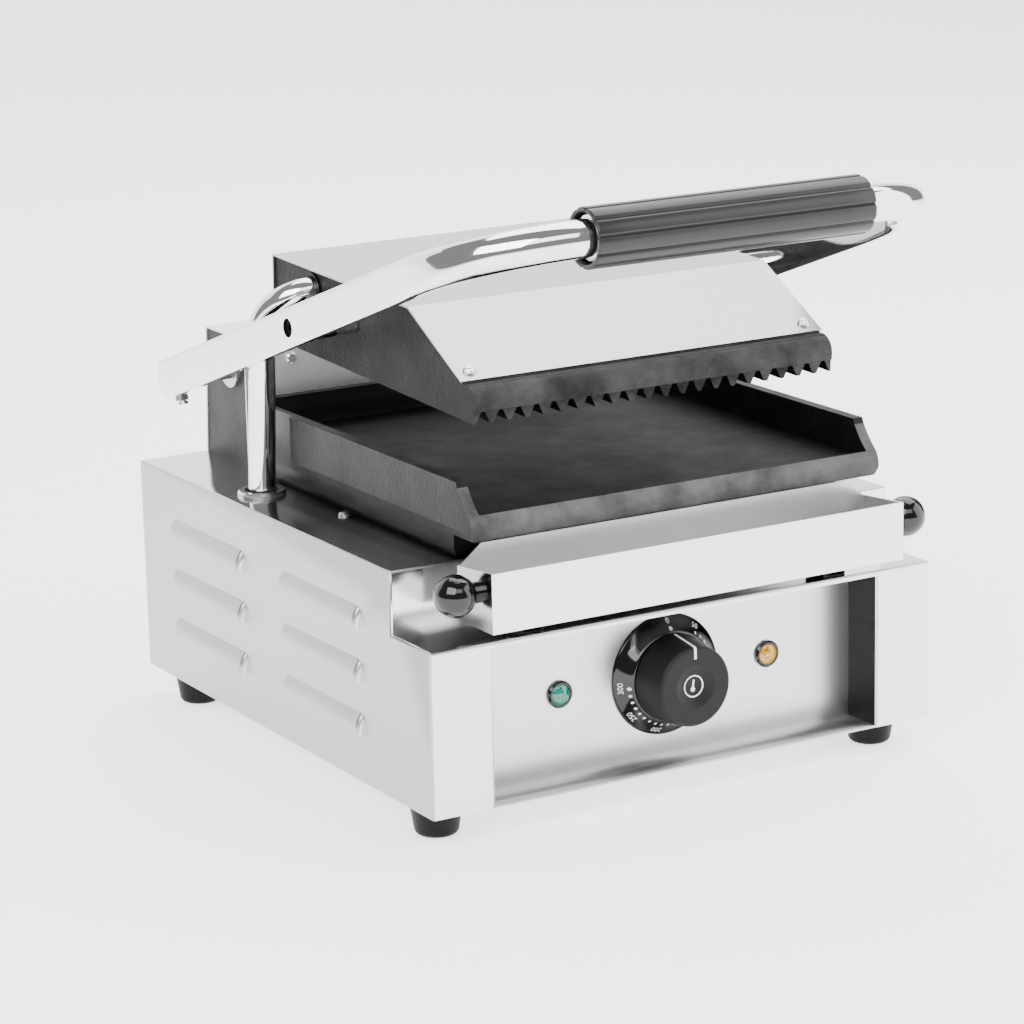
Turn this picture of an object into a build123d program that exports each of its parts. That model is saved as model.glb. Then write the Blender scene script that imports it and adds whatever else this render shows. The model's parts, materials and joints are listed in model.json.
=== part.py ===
from build123d import *
import math
import os

# Countertop contact grill: a cast lower plate on a steel casing, and a ribbed upper plate that
# hangs level from a spring-balanced handle. Millimetres. While it is built, Y = 0 is the casing's
# front face, Z = 0 its bottom edge and X = 0 its middle; the parts are written standing on Z = 0.

# ---- casing ----
casing_width = 310.0
casing_depth = 339.0
casing_height = 121.5
casing_sheet = 1.2
casing_bend = 1.6
ledge_height = 88.0
ledge_depth = 40.0
ledge_lip = 3.0
strip_width = 34.6
recess_depth = 25.0
origin_behind_front = 151.8

# ---- louvres pressed in both sides ----
louvre_length = 88.0
louvre_height = 12.0
louvre_depth = 4.0
louvre_end = 3.0
louvre_pitch = 29.0
louvre_rows = 3
louvre_lowest = 26.0
louvre_column_middles = (117.0, 252.0)

# ---- floor and feet ----
floor_sheet = 1.2
floor_flange = 12.0
floor_gap = 0.2
vent_slot_length = 60.0
vent_slot_width = 5.0
vent_slot_pitch = 14.0
vent_slot_count = 6
foot_height = 18.0
foot_top_radius = 14.5
foot_bottom_radius = 11.8
foot_edge = 3.5
foot_inset_x = 18.0
foot_inset_y = 30.0
foot_screw_radius = 2.5
foot_screw_head_radius = 4.4
foot_screw_head_height = 2.6
foot_screw_depth = 12.0
foot_screw_top = 6.0

# ---- control panel, dial and lamps ----
panel_sheet = 1.2
control_height = 45.0
lamp_spacing = 130.0
lamp_bezel_radius = 7.4
lamp_bezel_height = 2.2
lamp_barrel_radius = 6.2
lamp_barrel_length = 22.0
lamp_lens_radius = 5.6
lamp_lens_height = 1.6
bezel_radius = 33.0
bezel_edge = 1.2
bezel_top_radius = 24.6
bezel_height = 8.4
bezel_wall = 2.2
knob_standoff = 0.6
knob_base_radius = 24.0
knob_face_radius = 21.7
knob_face_height = 30.0
knob_edge = 1.6
knob_wall = 2.4
knob_dish_radius = 11.5
knob_dish_depth = 2.6
knob_hub_radius = 6.5
spindle_radius = 3.0
spindle_bush_radius = 5.0
thermostat_width = 38.0
thermostat_depth = 30.0
thermostat_tab = 14.0
thermostat_neck = 6.0
fit_gap = 0.1

# ---- lower plate: cast iron, flat cooking face between raised walls ----
lower_inset = 29.5
lower_base_inset = 12.5
lower_front = 8.0
lower_behind_gap = 26.0
lower_wall = 6.2
lower_wall_height = 17.4
lower_face_height = 150.3
lower_deck = 14.0
lower_lip_height = 1.7
lower_lip_depth = 13.3
lower_lip_return = 20.0
lower_wall_front = 21.5
lower_base_front = 45.0
lower_base_rear_inset = 10.0
lower_base_wall = 8.0
lower_corner = 10.0
lower_belly = 13.0
tube_relief = 2.5
tube_relief_ahead = 21.0

# ---- heating elements and what clamps them ----
element_radius = 4.0
element_side_room = 28.0
element_inner_share = 30 / 85
element_bend = 20.0
element_tail = 10.0
lower_element_front = 68.0
lower_element_behind = 46.0
lower_element_end_behind = 28.0
shield_sheet = 1.2
shield_margin = 3.0
stud_radius = 3.0
stud_front_y = 100.0
stud_back_behind = 68.0
stud_below_casing = 12.0
nut_height = 5.0
nut_across_flats = 10.0

# ---- handle frame: arms, grip and the shaft they turn on ----
pivot_from_rear = 36.0
pivot_z = 176.2
arm_angle = 19.3
arm_inset = 7.0
arm_thickness = 6.0
arm_rear_length = 22.0
arm_rear_half_height = 11.3
arm_front_half_height = 10.1
arm_round_run = 14.9
arm_edge_round = 2.4
arm_end_round = 8.0
handle_reach = 358.4
handle_tube_radius = 9.7
arm_in_grip = 20.0
grip_length = 165.0
grip_radius = 15.5
grip_flutes = 18
grip_flute_radius = 2.4
grip_flute_depth = 0.55
grip_recess_radius = 13.0
grip_recess_depth = 7.0
ferrule_radius = 11.3
ferrule_length = 4.0
shaft_radius = 6.0
shaft_in_arm = 4.0
running_gap = 0.05
clamp_screw_radius = 2.0
clamp_screw_below = 5.5
clamp_head_height = 1.6
clamp_nut_across = 7.0
clamp_nut_height = 3.2

# ---- spring housing ----
housing_inset = 43.0
housing_depth = 55.0
bracket_thickness = 4.0
bracket_foot = 14.0
housing_edge = 0.6
housing_height = 74.5
housing_lean = 5.0
housing_screw_inset = 29.0
housing_screw_z = 182.0
bush_radius = 8.0
bush_flange_radius = 11.0
bush_flange = 2.0
bush_length = 6.0
spring_wire = 3.0
spring_mean_radius = 11.0
spring_turns = 5
spring_pitch = 5.5
spring_inset = 52.0
collar_radius = 14.0
collar_length = 10.0

# ---- upper assembly, held level at the hanger bolts ----
hanger_reach = 154.4
upper_tilt = 2.2
press_side_gap = 9.5
upper_front = 131.0
upper_rear = 88.0
upper_face_below = 28.6
rib_height = 6.4
rib_spaces = 21
rib_base = 8.4
rib_tip = 2.2
upper_deck = 12.2
upper_cheek = 6.0
upper_lip_rise = 8.2
upper_lip_nose = 9.0
cover_sheet = 1.0
cover_top = 19.5
cover_front = 119.7
cover_fold = 63.7
cover_rear = 90.0
cover_flap_rear = 4.0
cover_overhang = 1.2
cover_screw_inset = 6.8
cover_screw_up = 7.0
cover_boss_width = 14.0
upper_element_front = 90.0
upper_element_back = 52.0
upper_element_end = 68.0
hanger_bolt_radius = 4.0
hanger_head_radius = 5.1
hanger_head_sunk = 1.5
hanger_head_height = 2.0
hanger_boss_radius = 10.0
hanger_boss_depth = 4.0
hanger_spacer_radius = 8.0
side_gap = 0.3

# ---- wiring tube from the casing to the upper plate ----
tube_radius = 7.5
tube_bore = 6.2
tube_inset = 21.5
tube_swivel_back = 44.4
tube_swivel_up = 7.6
tube_leg_back = 13.9
tube_lean = 4.8
tube_leg_length = 190.0
tube_corner_down = 14.5
tube_corner_out = 10.0
tube_bend = 20.0
tube_end_inside = 14.0
gland_outer_radius = 13.4
gland_bore = 9.7
gland_neck_radius = 11.6
gland_above = 2.6
gland_below = 0.8
grommet_bore = 7.9
grommet_neck = 8.7
grommet_flange = 9.6
grommet_lip = 1.0
clip_radius = 10.0
clip_thickness = 2.0

# ---- drip tray ----
tray_inset = 28.6
tray_front = -14.5
tray_depth = 34.5
tray_bottom = 96.4
tray_height = 31.3
tray_sheet = 1.0
tray_end_drop = 2.8
splash_top = 134.8
splash_inset = 13.4
runner_x = 94.0
runner_width = 14.0
runner_inset = 3.0
ball_radius = 11.0
ball_out = 12.5
ball_y = 0.8
ball_z = 115.2
ball_neck_radius = 5.5
tray_stud_radius = 2.9

# ---- small fittings ----
screw_head_radius = 3.4
screw_head_height = 2.0
screw_shank_radius = 1.8
screw_shank = 6.0
top_screw_out = 5.5
top_screw_y = 156.0
inlet_x = 95.0
inlet_z = 32.0
inlet_radius = 9.0
inlet_nut_across = 22.0
inlet_length = 14.5
inlet_bore = 4.5
terminal_width = 46.0
terminal_depth = 22.0
terminal_height = 20.0
terminal_ways = 3
terminal_from_rear = 39.0

# ---- places that several pieces share ----
half_width = casing_width / 2
inner_half_width = half_width - casing_sheet
opening_half_width = half_width - strip_width
opening_top = ledge_height - ledge_lip
panel_face_y = recess_depth
panel_back_y = panel_face_y + panel_sheet
casing_top_inside = casing_height - casing_sheet
lower_half_width = half_width - lower_inset
lower_base_half_width = lower_half_width - lower_base_inset
lower_deck_bottom = lower_face_height - lower_deck
lower_rear = casing_depth - housing_depth - lower_behind_gap
element_outer_x = lower_base_half_width - element_side_room
element_inner_x = element_outer_x * element_inner_share
stud_x = (element_outer_x + element_inner_x) / 2
stud_back_y = lower_rear - stud_back_behind
lower_element_back = lower_rear - lower_element_behind
lower_element_end = lower_rear - lower_element_end_behind
lower_wall_top = lower_face_height + lower_wall_height
lower_base_back = lower_rear - lower_base_rear_inset
arm_outer_x = half_width - arm_inset
arm_inner_x = arm_outer_x - arm_thickness
arm_middle_x = arm_outer_x - arm_thickness / 2
handle_bend = arm_middle_x - grip_length / 2 + grip_recess_depth - ferrule_length
arm_flat_length = handle_reach - handle_bend - arm_round_run
pivot_y = casing_depth - pivot_from_rear
housing_half_width = half_width - housing_inset
housing_screw_x = housing_half_width - housing_screw_inset
spring_start_x = housing_half_width - spring_inset
housing_front = casing_depth - housing_depth
housing_rear = casing_depth
housing_top = casing_height + housing_height
hanger_y = pivot_y - hanger_reach * math.cos(math.radians(arm_angle))
hanger_z = pivot_z + hanger_reach * math.sin(math.radians(arm_angle))
upper_half_width = lower_half_width - lower_wall - press_side_gap
rib_pitch = 2 * upper_half_width / rib_spaces
rib_line = rib_height - upper_face_below
upper_floor = rib_line + upper_deck
cover_slope = math.atan2(cover_top + upper_lip_rise, cover_front - cover_fold)
cover_side_x = upper_half_width + cover_overhang
cover_screw_x = upper_half_width - cover_screw_inset
tube_x = half_width - tube_inset
tube_swivel_x = cover_side_x
top_screw_x = lower_base_half_width + top_screw_out
terminal_y = casing_depth - terminal_from_rear
tray_half_width = half_width - tray_inset
splash_half_width = tray_half_width - splash_inset
ball_x = tray_half_width + ball_out
tray_rear = tray_front + tray_depth
tray_top = tray_bottom + tray_height


# ---- shapes that are used again and again ----
def block(x0, x1, y0, y1, z0, z1):
    """A box between two opposite corners."""
    middle = Pos((x0 + x1) / 2, (y0 + y1) / 2, (z0 + z1) / 2)
    return middle * Box(abs(x1 - x0), abs(y1 - y0), abs(z1 - z0))


def slab(points, x0, x1):
    """A closed YZ outline carried straight across in X."""
    outline = Plane.YZ * make_face(Polyline(*points, close=True))
    return Pos(x0, 0, 0) * extrude(outline, amount=x1 - x0, dir=(1, 0, 0))


def rod_x(radius, x0, x1, y, z):
    return Pos((x0 + x1) / 2, y, z) * Rot(0, 90, 0) * Cylinder(radius, abs(x1 - x0))


def rod_y(radius, y0, y1, x, z):
    return Pos(x, (y0 + y1) / 2, z) * Rot(90, 0, 0) * Cylinder(radius, abs(y1 - y0))


def rod_z(radius, z0, z1, x, y):
    return Pos(x, y, (z0 + z1) / 2) * Cylinder(radius, abs(z1 - z0))


def hexagon_z(across_flats, z0, z1, x, y):
    outline = RegularPolygon(across_flats / math.sqrt(3), 6)
    return Pos(x, y, z0) * extrude(outline, amount=z1 - z0)


def turned(points):
    """A closed (radius, height) outline turned once round Z."""
    return revolve(Plane.XZ * make_face(Polyline(*points, close=True)), Axis.Z)


def crown_arc(radius, edge_z, middle_z):
    """Part of a circle centred on the axis: from a rim at one height to the axis at another."""
    rise = middle_z - edge_z
    full = (radius ** 2 + rise ** 2) / (2 * rise)
    half = math.atan2(radius, full - rise) if rise > 0 else math.atan2(radius, rise - full)
    centre = middle_z - full
    sign = 1 if rise > 0 else -1
    on_arc = (abs(full) * math.sin(half / 2), centre + sign * abs(full) * math.cos(half / 2))
    return ThreePointArc((radius, edge_z), on_arc, (0, middle_z))


def pan_screw():
    """A pan-head screw standing in its seat on Z = 0, head up."""
    crown = 0.45 * screw_head_height
    head = turned([
        (0, 0), (screw_head_radius, 0), (screw_head_radius, screw_head_height - crown),
        (0.7 * screw_head_radius, screw_head_height), (0, screw_head_height),
    ])
    slot = Box(2 * screw_head_radius, 0.8, 1.0)
    head -= Pos(0, 0, screw_head_height) * slot
    return head + rod_z(screw_shank_radius, -screw_shank, 0, 0, 0)


def both_sides(solid):
    """The solid and its mirror image across the middle plane."""
    return [solid, mirror(solid, about=Plane.YZ)]


def on_handle(solid):
    """From the handle's own level frame, at the pivot, to where it stands at rest."""
    return Pos(0, pivot_y, pivot_z) * Rot(-arm_angle, 0, 0) * solid


def on_hanger(solid):
    """From the upper assembly's own level frame, at the hanger bolts, to its rest tilt."""
    return Pos(0, hanger_y, hanger_z) * Rot(upper_tilt, 0, 0) * solid


def swivel_point():
    """Where the wiring tube's swivel axis crosses the plane X = 0, at rest."""
    tilt = math.radians(upper_tilt)
    y = tube_swivel_back * math.cos(tilt) - tube_swivel_up * math.sin(tilt)
    z = tube_swivel_back * math.sin(tilt) + tube_swivel_up * math.cos(tilt)
    return hanger_y + y, hanger_z + z


def gland_y():
    """Where the leaning tube crosses the casing's top."""
    lean = math.radians(tube_lean)
    y, z = swivel_point()
    down = (casing_height - z - tube_leg_back * math.sin(lean)) / math.cos(lean)
    return y + tube_leg_back * math.cos(lean) - down * math.sin(lean)


def on_swivel(solid):
    """From the wiring tube's own upright frame, at its swivel, to its lean at rest."""
    y, z = swivel_point()
    return Pos(-tube_swivel_x, y, z) * Rot(tube_lean, 0, 0) * solid


def facing_front(x, z, solid):
    """From a frame whose Z is straight out of the panel to its place on the panel."""
    return Pos(x, panel_face_y, z) * Rot(90, 0, 0) * solid


# ---- casing ----
def louvre_outline(depth, height):
    """The hood's section: flat back, level open bottom edge and a curved top."""
    back = Line((0, 0), (0, height))
    bottom = Line((-depth, 0), (0, 0))
    top = ThreePointArc((-depth, 0), (-0.8 * depth, 0.55 * height), (0, height))
    return make_face([back, bottom, top])


def louvre_hood(depth, height, length, end):
    """A pressed hood along Y with rounded ends, standing out of X = 0 towards -X."""
    section = Plane.XZ * louvre_outline(depth, height)
    hood = Pos(0, length / 2, 0) * extrude(section, amount=length, dir=(0, -1, 0))
    return fillet(hood.edges().filter_by(GeomType.CIRCLE), end)


def casing():
    outline = [
        (0, 0), (0, ledge_height), (ledge_depth, ledge_height),
        (ledge_depth, casing_height), (casing_depth, casing_height), (casing_depth, 0),
    ]
    solid = slab(outline, -half_width, half_width)
    inside_corner = solid.edges().filter_by(Axis.X).sort_by_distance((0, ledge_depth, ledge_height))[0]
    bends = [e for e in solid.edges() if e.center().Z > 1 and e != inside_corner]
    solid = fillet(bends, casing_bend)
    t = casing_sheet
    hollow = [
        (t, -1), (t, ledge_height - t), (ledge_depth + t, ledge_height - t),
        (ledge_depth + t, casing_top_inside), (casing_depth - t, casing_top_inside),
        (casing_depth - t, -1),
    ]
    solid -= slab(hollow, -inner_half_width, inner_half_width)
    solid -= block(-opening_half_width, opening_half_width, -1, 2 * t, -1, opening_top)
    hood = louvre_hood(louvre_depth, louvre_height, louvre_length, louvre_end)
    hollow_hood = louvre_hood(
        louvre_depth - t, louvre_height - t, louvre_length - 2 * t, louvre_end - t
    )
    mouth = block(0, t + 1, -louvre_length / 2 + 2 * t, louvre_length / 2 - 2 * t, 0, 0.8 * louvre_height)
    for middle in louvre_column_middles:
        for row in range(louvre_rows):
            place = Pos(-half_width, middle, louvre_lowest + row * louvre_pitch)
            for piece in both_sides(place * hood):
                solid += piece
            for piece in both_sides(place * (hollow_hood + mouth)):
                solid -= piece
    solid -= rod_z(gland_neck_radius, casing_top_inside - 1, casing_height + 1, -tube_x, gland_y())
    for x in (-stud_x, stud_x):
        for y in (stud_front_y, stud_back_y):
            solid -= rod_z(stud_radius, casing_top_inside - 1, casing_height + 1, x, y)
    for x in (-element_outer_x, element_outer_x):
        hole = 2 * element_radius
        solid -= rod_z(hole, casing_top_inside - 1, casing_height + 1, x, lower_element_end)
    for x in (-top_screw_x, top_screw_x):
        solid -= rod_z(screw_shank_radius, casing_top_inside - 1, casing_height + 1, x, top_screw_y)
    solid -= rod_y(inlet_radius, casing_depth - 2 * t, casing_depth + 1, inlet_x, inlet_z)
    return solid


def control_panel():
    """The recessed face, with side returns and a floor that reach the casing's front."""
    w = opening_half_width - fit_gap
    top = opening_top - fit_gap
    t = panel_sheet
    solid = block(-w, w, panel_face_y, panel_back_y, 0, top)
    solid += block(-w, w, casing_sheet + fit_gap, panel_back_y, 0, t)
    for piece in both_sides(block(w - t, w, 0.3, panel_back_y, 0, top)):
        solid += piece
    solid += block(-w, w, panel_face_y, panel_back_y + 8, top - t, top)
    solid += block(-w, w, 0.3, casing_sheet + 1, 0, t)
    solid -= rod_y(spindle_bush_radius, panel_face_y - 1, panel_back_y + 1, 0, control_height)
    for x in (-lamp_spacing / 2, lamp_spacing / 2):
        solid -= rod_y(lamp_barrel_radius, panel_face_y - 1, panel_back_y + 1, x, control_height)
    return solid


def floor_plate():
    w = inner_half_width - floor_gap
    y0 = casing_sheet + floor_gap
    y1 = casing_depth - casing_sheet - floor_gap
    t = floor_sheet
    solid = block(-w, w, y0, y1, 0, t)
    notch = opening_half_width + floor_gap
    solid -= block(-notch, notch, y0 - 1, panel_back_y + floor_gap, -1, t + 1)
    for piece in both_sides(block(w - t, w, y0, y1, 0, floor_flange)):
        solid += piece
    slot = SlotOverall(vent_slot_length, vent_slot_width)
    middle_y = (y0 + y1) / 2
    for index in range(vent_slot_count):
        y = middle_y + (index - (vent_slot_count - 1) / 2) * vent_slot_pitch
        for x in (-vent_slot_length, vent_slot_length):
            solid -= Pos(x, y, -1) * extrude(slot, amount=t + 2)
    for x, y in foot_places():
        solid -= rod_z(foot_screw_radius, -1, t + 1, x, y)
    return solid


def foot_places():
    x = half_width - foot_inset_x
    return [(sx * x, y) for y in (foot_inset_y, casing_depth - foot_inset_y) for sx in (-1, 1)]


def foot():
    """A tapered rubber foot, rounded at the tread, with a sunk screw seat."""
    solid = Pos(0, 0, -foot_height / 2) * Cone(foot_bottom_radius, foot_top_radius, foot_height)
    tread = solid.edges().filter_by(GeomType.CIRCLE).sort_by(Axis.Z)[0]
    solid = fillet(tread, foot_edge)
    seat = foot_screw_head_radius + 0.6
    solid -= rod_z(seat, -foot_height - 1, -foot_screw_depth, 0, 0)
    solid -= rod_z(foot_screw_radius, -foot_height, 1, 0, 0)
    return solid


def foot_screw():
    head_top = -foot_screw_depth
    solid = rod_z(foot_screw_head_radius, head_top - foot_screw_head_height, head_top, 0, 0)
    return solid + rod_z(foot_screw_radius, head_top, foot_screw_top, 0, 0)


# ---- dial and lamps ----
def dial_bezel():
    """A thin flared ring: its slope carries the scale and rises to the foot of the knob."""
    slope = ThreePointArc(
        (bezel_radius, bezel_edge),
        ((bezel_radius + bezel_top_radius) / 2 - 0.5, (bezel_edge + bezel_height) / 2 - 0.5),
        (bezel_top_radius, bezel_height),
    )
    inner = bezel_top_radius - bezel_wall
    rest = Polyline(
        (bezel_top_radius, bezel_height), (inner, bezel_height), (inner, bezel_wall),
        (spindle_bush_radius + fit_gap, bezel_wall), (spindle_bush_radius + fit_gap, 0),
        (bezel_radius, 0), (bezel_radius, bezel_edge),
    )
    return revolve(Plane.XZ * make_face([slope, rest]), Axis.Z)


def thermostat_knob():
    """A slightly tapered drum with a dished face, hollow behind and carried by a hub."""
    base = bezel_height + knob_standoff
    roof = knob_face_height - knob_dish_depth - knob_wall
    inside = knob_base_radius - knob_wall
    side = Polyline(
        (0, roof), (inside - 1.5, roof), (inside, base), (knob_base_radius, base),
        (knob_face_radius, knob_face_height - knob_edge),
    )
    edge = ThreePointArc(
        (knob_face_radius, knob_face_height - knob_edge),
        (knob_face_radius - 0.3 * knob_edge, knob_face_height - 0.3 * knob_edge),
        (knob_face_radius - knob_edge, knob_face_height),
    )
    rim = Line((knob_face_radius - knob_edge, knob_face_height), (knob_dish_radius, knob_face_height))
    dish = crown_arc(knob_dish_radius, knob_face_height, knob_face_height - knob_dish_depth)
    axis_side = Line((0, knob_face_height - knob_dish_depth), (0, roof))
    solid = revolve(Plane.XZ * make_face([side, edge, rim, dish, axis_side]), Axis.Z)
    solid += rod_z(knob_hub_radius, base, roof, 0, 0)
    return solid - rod_z(spindle_radius, base - 1, roof - 2, 0, 0)


def spindle():
    """The thermostat's turning shaft, with a flat against the hub."""
    tip = knob_face_height - knob_dish_depth - knob_wall - 2
    return rod_z(spindle_radius, -thermostat_depth / 2, tip, 0, 0)


def thermostat():
    """Capillary thermostat behind the panel: square case, round head and terminal tabs."""
    behind = -panel_sheet
    half = thermostat_width / 2
    solid = block(-half, half, -half, half, behind - thermostat_depth, behind)
    solid = fillet(solid.edges().filter_by(Axis.Z), 4)
    solid += rod_z(spindle_bush_radius, behind, 0, 0, 0)
    back = behind - thermostat_depth
    solid += rod_z(0.3 * thermostat_width, back - thermostat_neck, back, 0, 0)
    for x in (-half / 2, half / 2):
        solid += block(x - 3, x + 3, -0.4, 0.4, back - thermostat_tab, back)
    running = spindle_radius + running_gap
    return solid - rod_z(running, -thermostat_depth / 2 - 1, 1, 0, 0)


def lamp_body():
    """Bezel and barrel in one moulding, with a cup for the lens."""
    outline = turned([
        (0, -lamp_barrel_length), (lamp_barrel_radius, -lamp_barrel_length),
        (lamp_barrel_radius, 0), (lamp_bezel_radius, 0),
        (lamp_bezel_radius, 0.6 * lamp_bezel_height),
        (lamp_bezel_radius - 0.8, lamp_bezel_height), (0, lamp_bezel_height),
    ])
    cup = rod_z(lamp_lens_radius, 0, lamp_bezel_height + 1, 0, 0)
    return outline - cup


def lamp_lens():
    """A shallow dome on a short drum."""
    top = lamp_bezel_height + lamp_lens_height
    dome = crown_arc(lamp_lens_radius, lamp_bezel_height - 0.4, top)
    rest = Polyline((0, top), (0, 0), (lamp_lens_radius, 0), (lamp_lens_radius, lamp_bezel_height - 0.4))
    return revolve(Plane.XZ * make_face([dome, rest]), Axis.Z)


# ---- lower plate and its heater ----
def lower_side_outline():
    """Looking along Y: straight walls over a belly that draws in to the base."""
    w, b = lower_half_width, lower_base_half_width
    turn = lower_deck_bottom + lower_belly / 2
    right = ThreePointArc(
        (w, turn), (w - 0.3 * (w - b), lower_deck_bottom - 1), (b, casing_height)
    )
    left = ThreePointArc(
        (-b, casing_height), (-w + 0.3 * (w - b), lower_deck_bottom - 1), (-w, turn)
    )
    top = Polyline((-w, turn), (-w, lower_wall_top), (w, lower_wall_top), (w, turn))
    return make_face([right, Line((b, casing_height), (-b, casing_height)), left, top])


def lower_plate():
    section = Plane.XZ * lower_side_outline()
    blank = Pos(0, lower_rear, 0) * extrude(section, amount=lower_rear - lower_front + 4, dir=(0, -1, 0))
    lip_top = lower_face_height + lower_lip_height
    lip_bottom = lip_top - lower_lip_depth
    nose = ThreePointArc(
        (lower_front, lip_bottom), (lower_front - 1.6, (lip_top + lip_bottom) / 2), (lower_front + 1, lip_top)
    )
    cheek = ThreePointArc(
        (lower_front + 1, lip_top),
        (lower_front + 7.5, lip_top + 6.5),
        (lower_wall_front, lower_wall_top),
    )
    rest = Polyline(
        (lower_wall_front, lower_wall_top), (lower_rear, lower_wall_top),
        (lower_rear, lower_deck_bottom), (lower_base_back, casing_height),
        (lower_base_front, casing_height), (lower_lip_return + lower_front, lip_bottom),
        (lower_front, lip_bottom),
    )
    length_section = Plane.YZ * make_face([nose, cheek, rest])
    across = extrude(length_section, amount=casing_width, dir=(1, 0, 0))
    solid = blank & (Pos(-half_width, 0, 0) * across)
    uprights = [
        e for e in solid.edges().filter_by(Axis.Z)
        if e.center().Y > lower_rear - 1 and e.length > lower_wall_height
    ]
    solid = fillet(uprights, lower_corner)
    inside = lower_half_width - lower_wall
    pocket_rear = lower_rear - lower_wall
    pocket = block(-inside, inside, lower_lip_return, pocket_rear, lower_face_height, lower_wall_top + 1)
    pocket = fillet(
        [e for e in pocket.edges().filter_by(Axis.Z) if e.center().Y > pocket_rear - 1],
        lower_corner - lower_wall / 2,
    )
    solid -= pocket
    solid -= block(-inside, inside, lower_front + 3, lower_lip_return, lower_face_height, lower_wall_top + 1)
    solid -= block(-inside, inside, lower_front - 4, lower_front + 3, lip_top, lower_wall_top + 1)
    under_half = lower_base_half_width - lower_base_wall
    solid -= block(
        -under_half, under_half, lower_base_front + lower_base_wall,
        lower_base_back - lower_base_wall, casing_height - 1, lower_deck_bottom,
    )
    for piece in both_sides(block(
        lower_half_width - tube_relief, lower_half_width + 1, gland_y() - tube_relief_ahead,
        lower_rear + 1, casing_height, lower_wall_top + 1,
    )):
        solid -= piece
    return solid


def element(front, back, end, height):
    """A round heating rod bent in an M, with a cold pin turned down at each end."""
    path = FilletPolyline(
        (-element_outer_x, end, height), (-element_outer_x, front, height),
        (-element_inner_x, front, height), (-element_inner_x, back, height),
        (element_inner_x, back, height), (element_inner_x, front, height),
        (element_outer_x, front, height), (element_outer_x, end, height),
        radius=element_bend,
    )
    section = Plane(origin=(-element_outer_x, end, height), z_dir=(0, -1, 0)) * Circle(element_radius)
    return sweep(section, path=path)


def lower_shield():
    """The pressed sheet that clamps the rod up against the plate."""
    top = lower_deck_bottom - 2 * element_radius - 2 * fit_gap
    half = lower_base_half_width - lower_base_wall - shield_margin
    y0 = lower_base_front + lower_base_wall + shield_margin
    y1 = lower_base_back - lower_base_wall - shield_margin
    solid = block(-half, half, y0, y1, top - shield_sheet, top)
    for x in (-stud_x, stud_x):
        for y in (stud_front_y, stud_back_y):
            solid -= rod_z(stud_radius, top - 3, top + 1, x, y)
    return solid


def plate_stud(x, y):
    """A stud hung from the plate through shield and casing, with its two nuts."""
    shield_bottom = lower_deck_bottom - 2 * element_radius - 2 * fit_gap - shield_sheet
    bottom = casing_top_inside - stud_below_casing
    solid = rod_z(stud_radius, bottom, lower_deck_bottom, x, y)
    nut_top = casing_top_inside
    solid += hexagon_z(nut_across_flats, nut_top - nut_height, nut_top, x, y)
    return solid + hexagon_z(nut_across_flats, shield_bottom - 3, shield_bottom, x, y)


# ---- spring housing ----
def housing_outline(inset, low):
    """The housing's side view, drawn in by the same amount all round, down to the given height."""
    return [
        (housing_front + inset, low), (housing_front + inset, housing_top - inset),
        (housing_rear - housing_lean - inset, housing_top - inset), (housing_rear - inset, low),
    ]


def spring_housing():
    """A folded sheet, open at its ends: front, top and leaning rear."""
    solid = slab(housing_outline(0, casing_height), -housing_half_width, housing_half_width)
    folds = solid.edges().filter_by(Axis.X).sort_by(Axis.Z)[-2:]
    solid = fillet(folds, casing_bend)
    inside = housing_outline(casing_sheet, casing_height - 1)
    solid -= slab(inside, -housing_half_width - 1, housing_half_width + 1)
    for x in (-housing_screw_x, housing_screw_x):
        solid -= rod_y(screw_shank_radius, housing_front - 1, housing_front + 3, x, housing_screw_z)
    return solid


def hinge_bracket():
    """The cast end plate that carries a bush, with a foot turned inwards along the casing."""
    outer = housing_half_width - housing_edge
    inner = outer - bracket_thickness
    outline = housing_outline(casing_sheet + floor_gap, casing_height)
    solid = slab(outline, inner, outer)
    foot_front = housing_front + casing_sheet + floor_gap
    foot_rear = housing_rear - casing_sheet - 1
    foot_top = casing_height + bracket_thickness
    solid += block(inner - bracket_foot, inner, foot_front, foot_rear, casing_height, foot_top)
    return solid - rod_x(bush_radius, inner - 1, outer + 1, pivot_y, pivot_z)


def hinge_bush():
    """A flanged bush in the bracket, running on the shaft."""
    face = housing_half_width - housing_edge
    outer = face + bush_flange
    solid = rod_x(bush_radius, outer - bush_length - bush_flange, outer, pivot_y, pivot_z)
    solid += rod_x(bush_flange_radius, face, outer, pivot_y, pivot_z)
    return solid - rod_x(shaft_radius + running_gap, 0, outer + 1, pivot_y, pivot_z)


def balance_spring():
    """A torsion spring round the shaft: its outer leg bears on the housing's front sheet."""
    length = spring_turns * spring_pitch
    wire = spring_wire / 2
    coil_path = Helix(pitch=spring_pitch, height=length, radius=spring_mean_radius)
    start = Plane(origin=coil_path @ 0, z_dir=coil_path % 0)
    coil = sweep(start * Circle(wire), path=coil_path, is_frenet=True)
    coil = Pos(spring_start_x, pivot_y, pivot_z) * Rot(0, 90, 0) * coil
    leg_x = spring_start_x + length
    leg_end = housing_front + casing_sheet + fit_gap
    leg = rod_y(wire, leg_end, pivot_y + wire, leg_x, pivot_z - spring_mean_radius)
    return coil + leg


def spring_collar():
    """A collar on the shaft that takes the spring's inner end."""
    end = spring_start_x - spring_wire
    solid = rod_x(collar_radius, end - collar_length, end, pivot_y, pivot_z)
    return solid - rod_x(shaft_radius, end - collar_length - 1, end + 1, pivot_y, pivot_z)


# ---- handle ----
def arm_section(y, shape):
    return Plane(origin=(-arm_middle_x, y, 0), x_dir=(1, 0, 0), z_dir=(0, -1, 0)) * shape


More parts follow.
